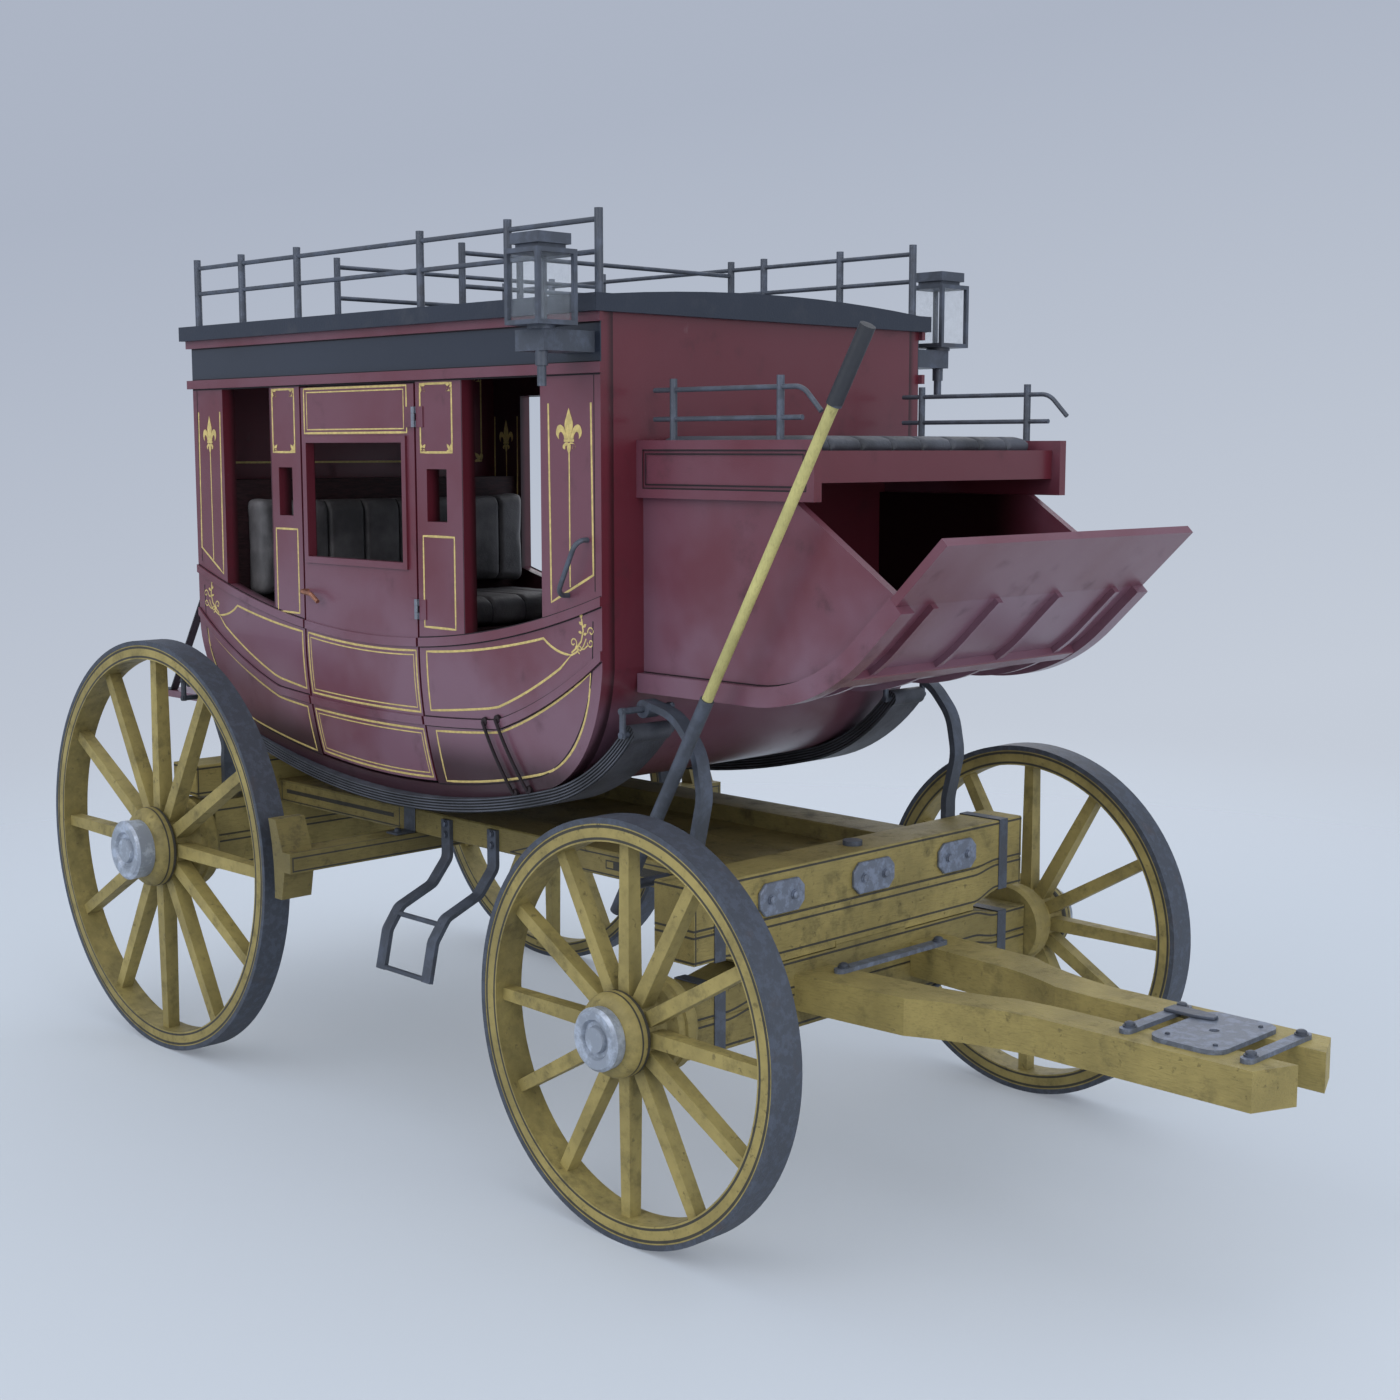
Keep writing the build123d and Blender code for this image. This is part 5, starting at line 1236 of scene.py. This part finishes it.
class COACH_OT_irons(Operator):
    """Make the bolt plates, straps, rods and bolts of the running gear and the cabin"""

    bl_idname = "coach.irons"
    bl_label = "Small irons"

    def execute(self, context):
        size = context.scene.coach_sizes.bolt
        bolster_low, bolster_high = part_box("front_bolster")
        half_x = (bolster_high.x - bolster_low.x) / 2

        # Three plates on the bolster's face, two bolts in each
        face, front = bolster_high.x, bolster_high.x + 0.011
        plates, spots = [], []
        for y in (-0.377, 0.0, 0.377):
            plate = block((face, y - 0.087, 0.788), (front, y + 0.087, 0.878))
            shape(
                plate,
                "EDGE",
                lambda e: abs((e.verts[0].co - e.verts[1].co).x) > 0.009,
                lambda: bpy.ops.mesh.bevel(offset=0.024, segments=1, affect="EDGES"),
            )
            plates.append(chamfer(plate, 0.0025))
            spots += [aim((front, y + step, 0.833), (1, 0, 0)) for step in (-0.045, 0.045)]
        plates += bolts(size * 0.8, 1.25, spots)
        wear_finish(join("bolster_plates", plates), "plate_iron")

        # Straps round the bolster and round the axle bed
        for name, body, low_z, high_z in (
            ("bolster_straps", "coach", 0.700, bolster_high.z),
            ("bed_straps", "front_axle", 0.457, 0.627),
        ):
            rings = []
            for y in (-0.6065, 0.6065):
                low, high = (AXLE - half_x, y - 0.0205, low_z), (AXLE + half_x, y + 0.0205, high_z)
                rings.append(hoop(low, high, lambda f: abs(f.normal.y) > 0.9))
            wear_finish(join(name, rings), "iron", body)

        # Boards that fill the space between the bolster and the axle bed beside the rubbing plate
        boards = []
        for y in (-0.29, 0.29):
            low, high = (AXLE - 0.0715, y - 0.18, 0.6525), (AXLE + 0.0715, y + 0.18, 0.6695)
            boards.append(chamfer(block(low, high), 0.001))
        wear_finish(join("rubbing_boards", boards), "hound_paint")

        # A batten across the underside of the boot and its footboard
        batten = chamfer(block((-0.022, -0.5, -0.012), (0.022, 0.5, 0.022)), 0.003)
        pick(batten)
        bpy.ops.transform.rotate(value=math.radians(-149), orient_axis="Y", center_override=(0, 0, 0))
        bpy.ops.transform.translate(value=(AXLE + 0.372, 0, 1.457))
        wear_finish(join("boot_batten", [batten]), "wine_paint")

        # Straps over the perches with a foot and a bolt each, and the bolts of the steps
        x = AXLE - 1.483
        rings, spots = [], []
        for side in (-1, 1):
            low, high = (x - 0.029, side * 0.375 - 0.075, 0.80), (x + 0.029, side * 0.375 + 0.075, 0.877)
            rings.append(hoop(low, high, lambda f: abs(f.normal.x) > 0.9 or f.normal.z < -0.9))
            low, high = (x - 0.029, side * 0.488 - 0.036, 0.7995), (x + 0.029, side * 0.488 + 0.036, 0.8055)
            rings.append(chamfer(block(low, high), 0.0012))
            spots.append(aim((x - 0.008, side * 0.495, 0.8055)))
        step_low, step_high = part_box("steps")
        for x in (step_low.x + 0.021, step_high.x - 0.021):
            for side in (-1, 1):
                spots += [aim((x, side * 0.464, z), (0, side, 0)) for z in (0.855, 0.82)]
        rings += bolts(size * 0.72, 1.25, spots)
        wear_finish(join("perch_straps", rings), "iron")

        # Bolts of the hound irons above and below, rivets round the pin hole, the tab and the tie
        top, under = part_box("hound_irons")[1].z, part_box("hounds")[0].z
        spots = []
        for reach, y in ((0.150, 0.205), (1.0, 0.118), (1.328, 0.118)):
            for side in (-1, 1):
                spots.append(aim((AXLE + reach, side * y, top), (0, 0, 1)))
                spots.append(aim((AXLE + reach, side * y, under), (0, 0, -1)))
        parts = bolts(size * 0.95, 1.3, spots)
        hole = AXLE + 1.162
        spots = [aim((hole + dx, dy, top - 0.001)) for dx in (-0.065, 0.065) for dy in (-0.105, 0.105)]
        parts += bolts(size * 0.4, 1.2, spots)
        tab = block((AXLE + 0.985, 0.055, top), (AXLE + 1.075, 0.105, top + 0.008))
        shape(
            tab,
            "FACE",
            lambda f: f.normal.x > 0.9,
            lambda: bpy.ops.mesh.extrude_region_move(TRANSFORM_OT_translate={"value": (0.045, 0, 0)}),
            lambda: bpy.ops.transform.resize(value=(1, 0.45, 1)),
        )
        parts.append(chamfer(tab, 0.002))
        sag = ((-0.235, 0.004), (-0.2, 0.03), (0.2, 0.03), (0.235, 0.004))
        parts.append(rod("tie", [(AXLE + 0.15, y, under - drop) for y, drop in sag], 0.008))
        wear_finish(join("hound_bolts", parts), "iron", "front_axle")

        # Two slanted rods on each lower front panel, ending in small bosses
        for name, side in SIDES:
            parts, spots = [], []
            for (top_x, top_z), (foot_x, foot_z) in PANEL_RODS:
                bowed = ((top_x + foot_x) / 2 - 0.008, (top_z + foot_z) / 2, 0.018)
                run = ((top_x, top_z, 0.014), bowed, (foot_x, foot_z, 0.014))
                places = [Vector((AXLE + x, side * (wall_out(z) + off), z)) for x, z, off in run]
                parts.append(rod("stay", places, 0.0052))
                spots += [aim((x, side * wall_out(z), z), (0, side, 0)) for x, _, z in places[::2]]
            parts += bolts(0.0125, 1.1, spots)
            wear_finish(join(f"panel_rods_{name}", parts), "shadow_line_and_rod_dark")
        return {"FINISHED"}


# What the stage holds: the sky near the horizon and above, the light of the world, and the lamps
SKY = ((0.555, 0.605, 0.69), (0.415, 0.46, 0.555))
DAYLIGHT, DAYLIGHT_POWER = (0.78, 0.89, 1.0, 1), 1.18
LAMP_COLOUR = (1.0, 0.98, 0.955)
LAMPS = (
    ("key", (-0.2, -8.6, 5.8), 7.0, 290.0),
    ("front_fill", (7.8, -1.5, 2.9), 5.0, 140.0),
    ("top", (0.0, 1.0, 8.0), 7.0, 90.0),
    ("back_fill", (-4.0, 7.0, 4.5), 6.0, 140.0),
)
CAMERA, TURN, TILT = (4.34235, -4.0977, 2.0192), math.radians(45.4226), math.radians(7.3686)


def look(thing, ahead):
    """Point a lamp or a camera along a direction."""
    thing.rotation_euler = ahead.to_track_quat("-Z", "Y").to_euler()


class COACH_OT_stage(Operator):
    """Set up the pale floor, the soft light and the camera"""

    bl_idname = "coach.stage"
    bl_label = "Floor, light and camera"

    def execute(self, context):
        scene = context.scene
        colour = scene.coach_colours.floor
        pick()
        bpy.ops.mesh.primitive_circle_add(vertices=64, radius=60, fill_type="NGON", location=(0, 0, 0))
        floor = bpy.context.object
        floor.name = "floor"
        made = Finish("floor", Specular_IOR_Level=0.1)
        tone = made.mix(made.noise(0.35), shade(colour, 0.985), shade(colour, 1.015))
        made.dress(Base_Color=tone, Roughness=made.noise(2.0) * 0.1 + 0.8)
        # The camera sees the floor fade into the background; near the coach it still sees 0.3 of the background,
        # which paints the floor's shadows lighter
        far = ((made.x**2.0 + made.y**2.0) ** 0.5).rise(2.8, 9.0)
        seen = made.add("LightPath")
        clear = made.add("BsdfTransparent")
        solid = Wire(made, made.shader.outputs[0])
        blend = made.add("MixShader", None, {0: (0.3 + far * 0.7) * seen, 1: solid, 2: clear})
        made.feed(made.tree.nodes["Material Output"], {"Surface": blend})
        floor.data.materials.append(made.material)

        world = scene.world = bpy.data.worlds.new("studio")
        world.use_nodes = True
        made = Nodes(world.node_tree)
        made.tree.nodes.clear()
        view = made.other(made.add("TexCoord"), "Generated")
        slope = {0: view, 1: (-0.14, -0.14, 1.0)}
        height = made.add("VectorMath", {"operation": "DOT_PRODUCT"}, slope, "Value")
        height = made.add("MapRange", None, {0: height, 1: -0.17, 2: 0.17})
        path = made.add("LightPath")
        shown = path.most(made.other(path, "Is Glossy Ray")).most(made.other(path, "Is Transmission Ray"))
        light = made.add("Background", None, {0: DAYLIGHT, 1: DAYLIGHT_POWER})
        back = made.add("Background", None, {0: made.mix(height, *SKY), 1: 1.0})
        both = made.add("MixShader", None, {0: shown, 1: light, 2: back})
        made.add("OutputWorld", None, {0: both})

        for name, place, size, power in LAMPS:
            lamp = bpy.data.lights.new(name, "AREA")
            lamp.size = size
            lamp.energy = power
            lamp.color = LAMP_COLOUR
            thing = link(name, lamp)
            thing.location = place
            look(thing, Vector((0, 0, 1.0)) - Vector(place))

        camera = scene.camera = link("camera", bpy.data.cameras.new("camera"))
        camera.data.lens = 50
        camera.data.sensor_width = 36
        camera.location = CAMERA
        level = math.cos(TILT)
        look(camera, Vector((-math.sin(TURN) * level, math.cos(TURN) * level, -math.sin(TILT))))
        scene.view_settings.view_transform = "Standard"
        return {"FINISHED"}


class COACH_PT_sidebar(Panel):
    """The steps that dress the coach, and their settings"""

    bl_idname = "COACH_PT_sidebar"
    bl_label = "Stagecoach"
    bl_space_type = "VIEW_3D"
    bl_region_type = "UI"
    bl_category = "Coach"

    def draw(self, context):
        for group in (context.scene.coach_colours, context.scene.coach_sizes):
            for name in group.__annotations__:
                self.layout.prop(group, name)
        for step in STEPS:
            self.layout.operator(step.bl_idname)


STEPS = (COACH_OT_finishes, COACH_OT_seats, COACH_OT_lines, COACH_OT_irons, COACH_OT_stage)
CLASSES = (CoachColours, CoachSizes, *STEPS, COACH_PT_sidebar)


def register():
    for part in CLASSES:
        bpy.utils.register_class(part)
    bpy.types.Scene.coach_colours = PointerProperty(type=CoachColours)
    bpy.types.Scene.coach_sizes = PointerProperty(type=CoachSizes)


def unregister():
    del bpy.types.Scene.coach_sizes
    del bpy.types.Scene.coach_colours
    for part in reversed(CLASSES):
        bpy.utils.unregister_class(part)


def main():
    register()
    bpy.ops.coach.finishes()
    bpy.ops.coach.seats()
    bpy.ops.coach.lines()
    bpy.ops.coach.irons()
    bpy.ops.coach.stage()


if __name__ == "__main__":
    main()
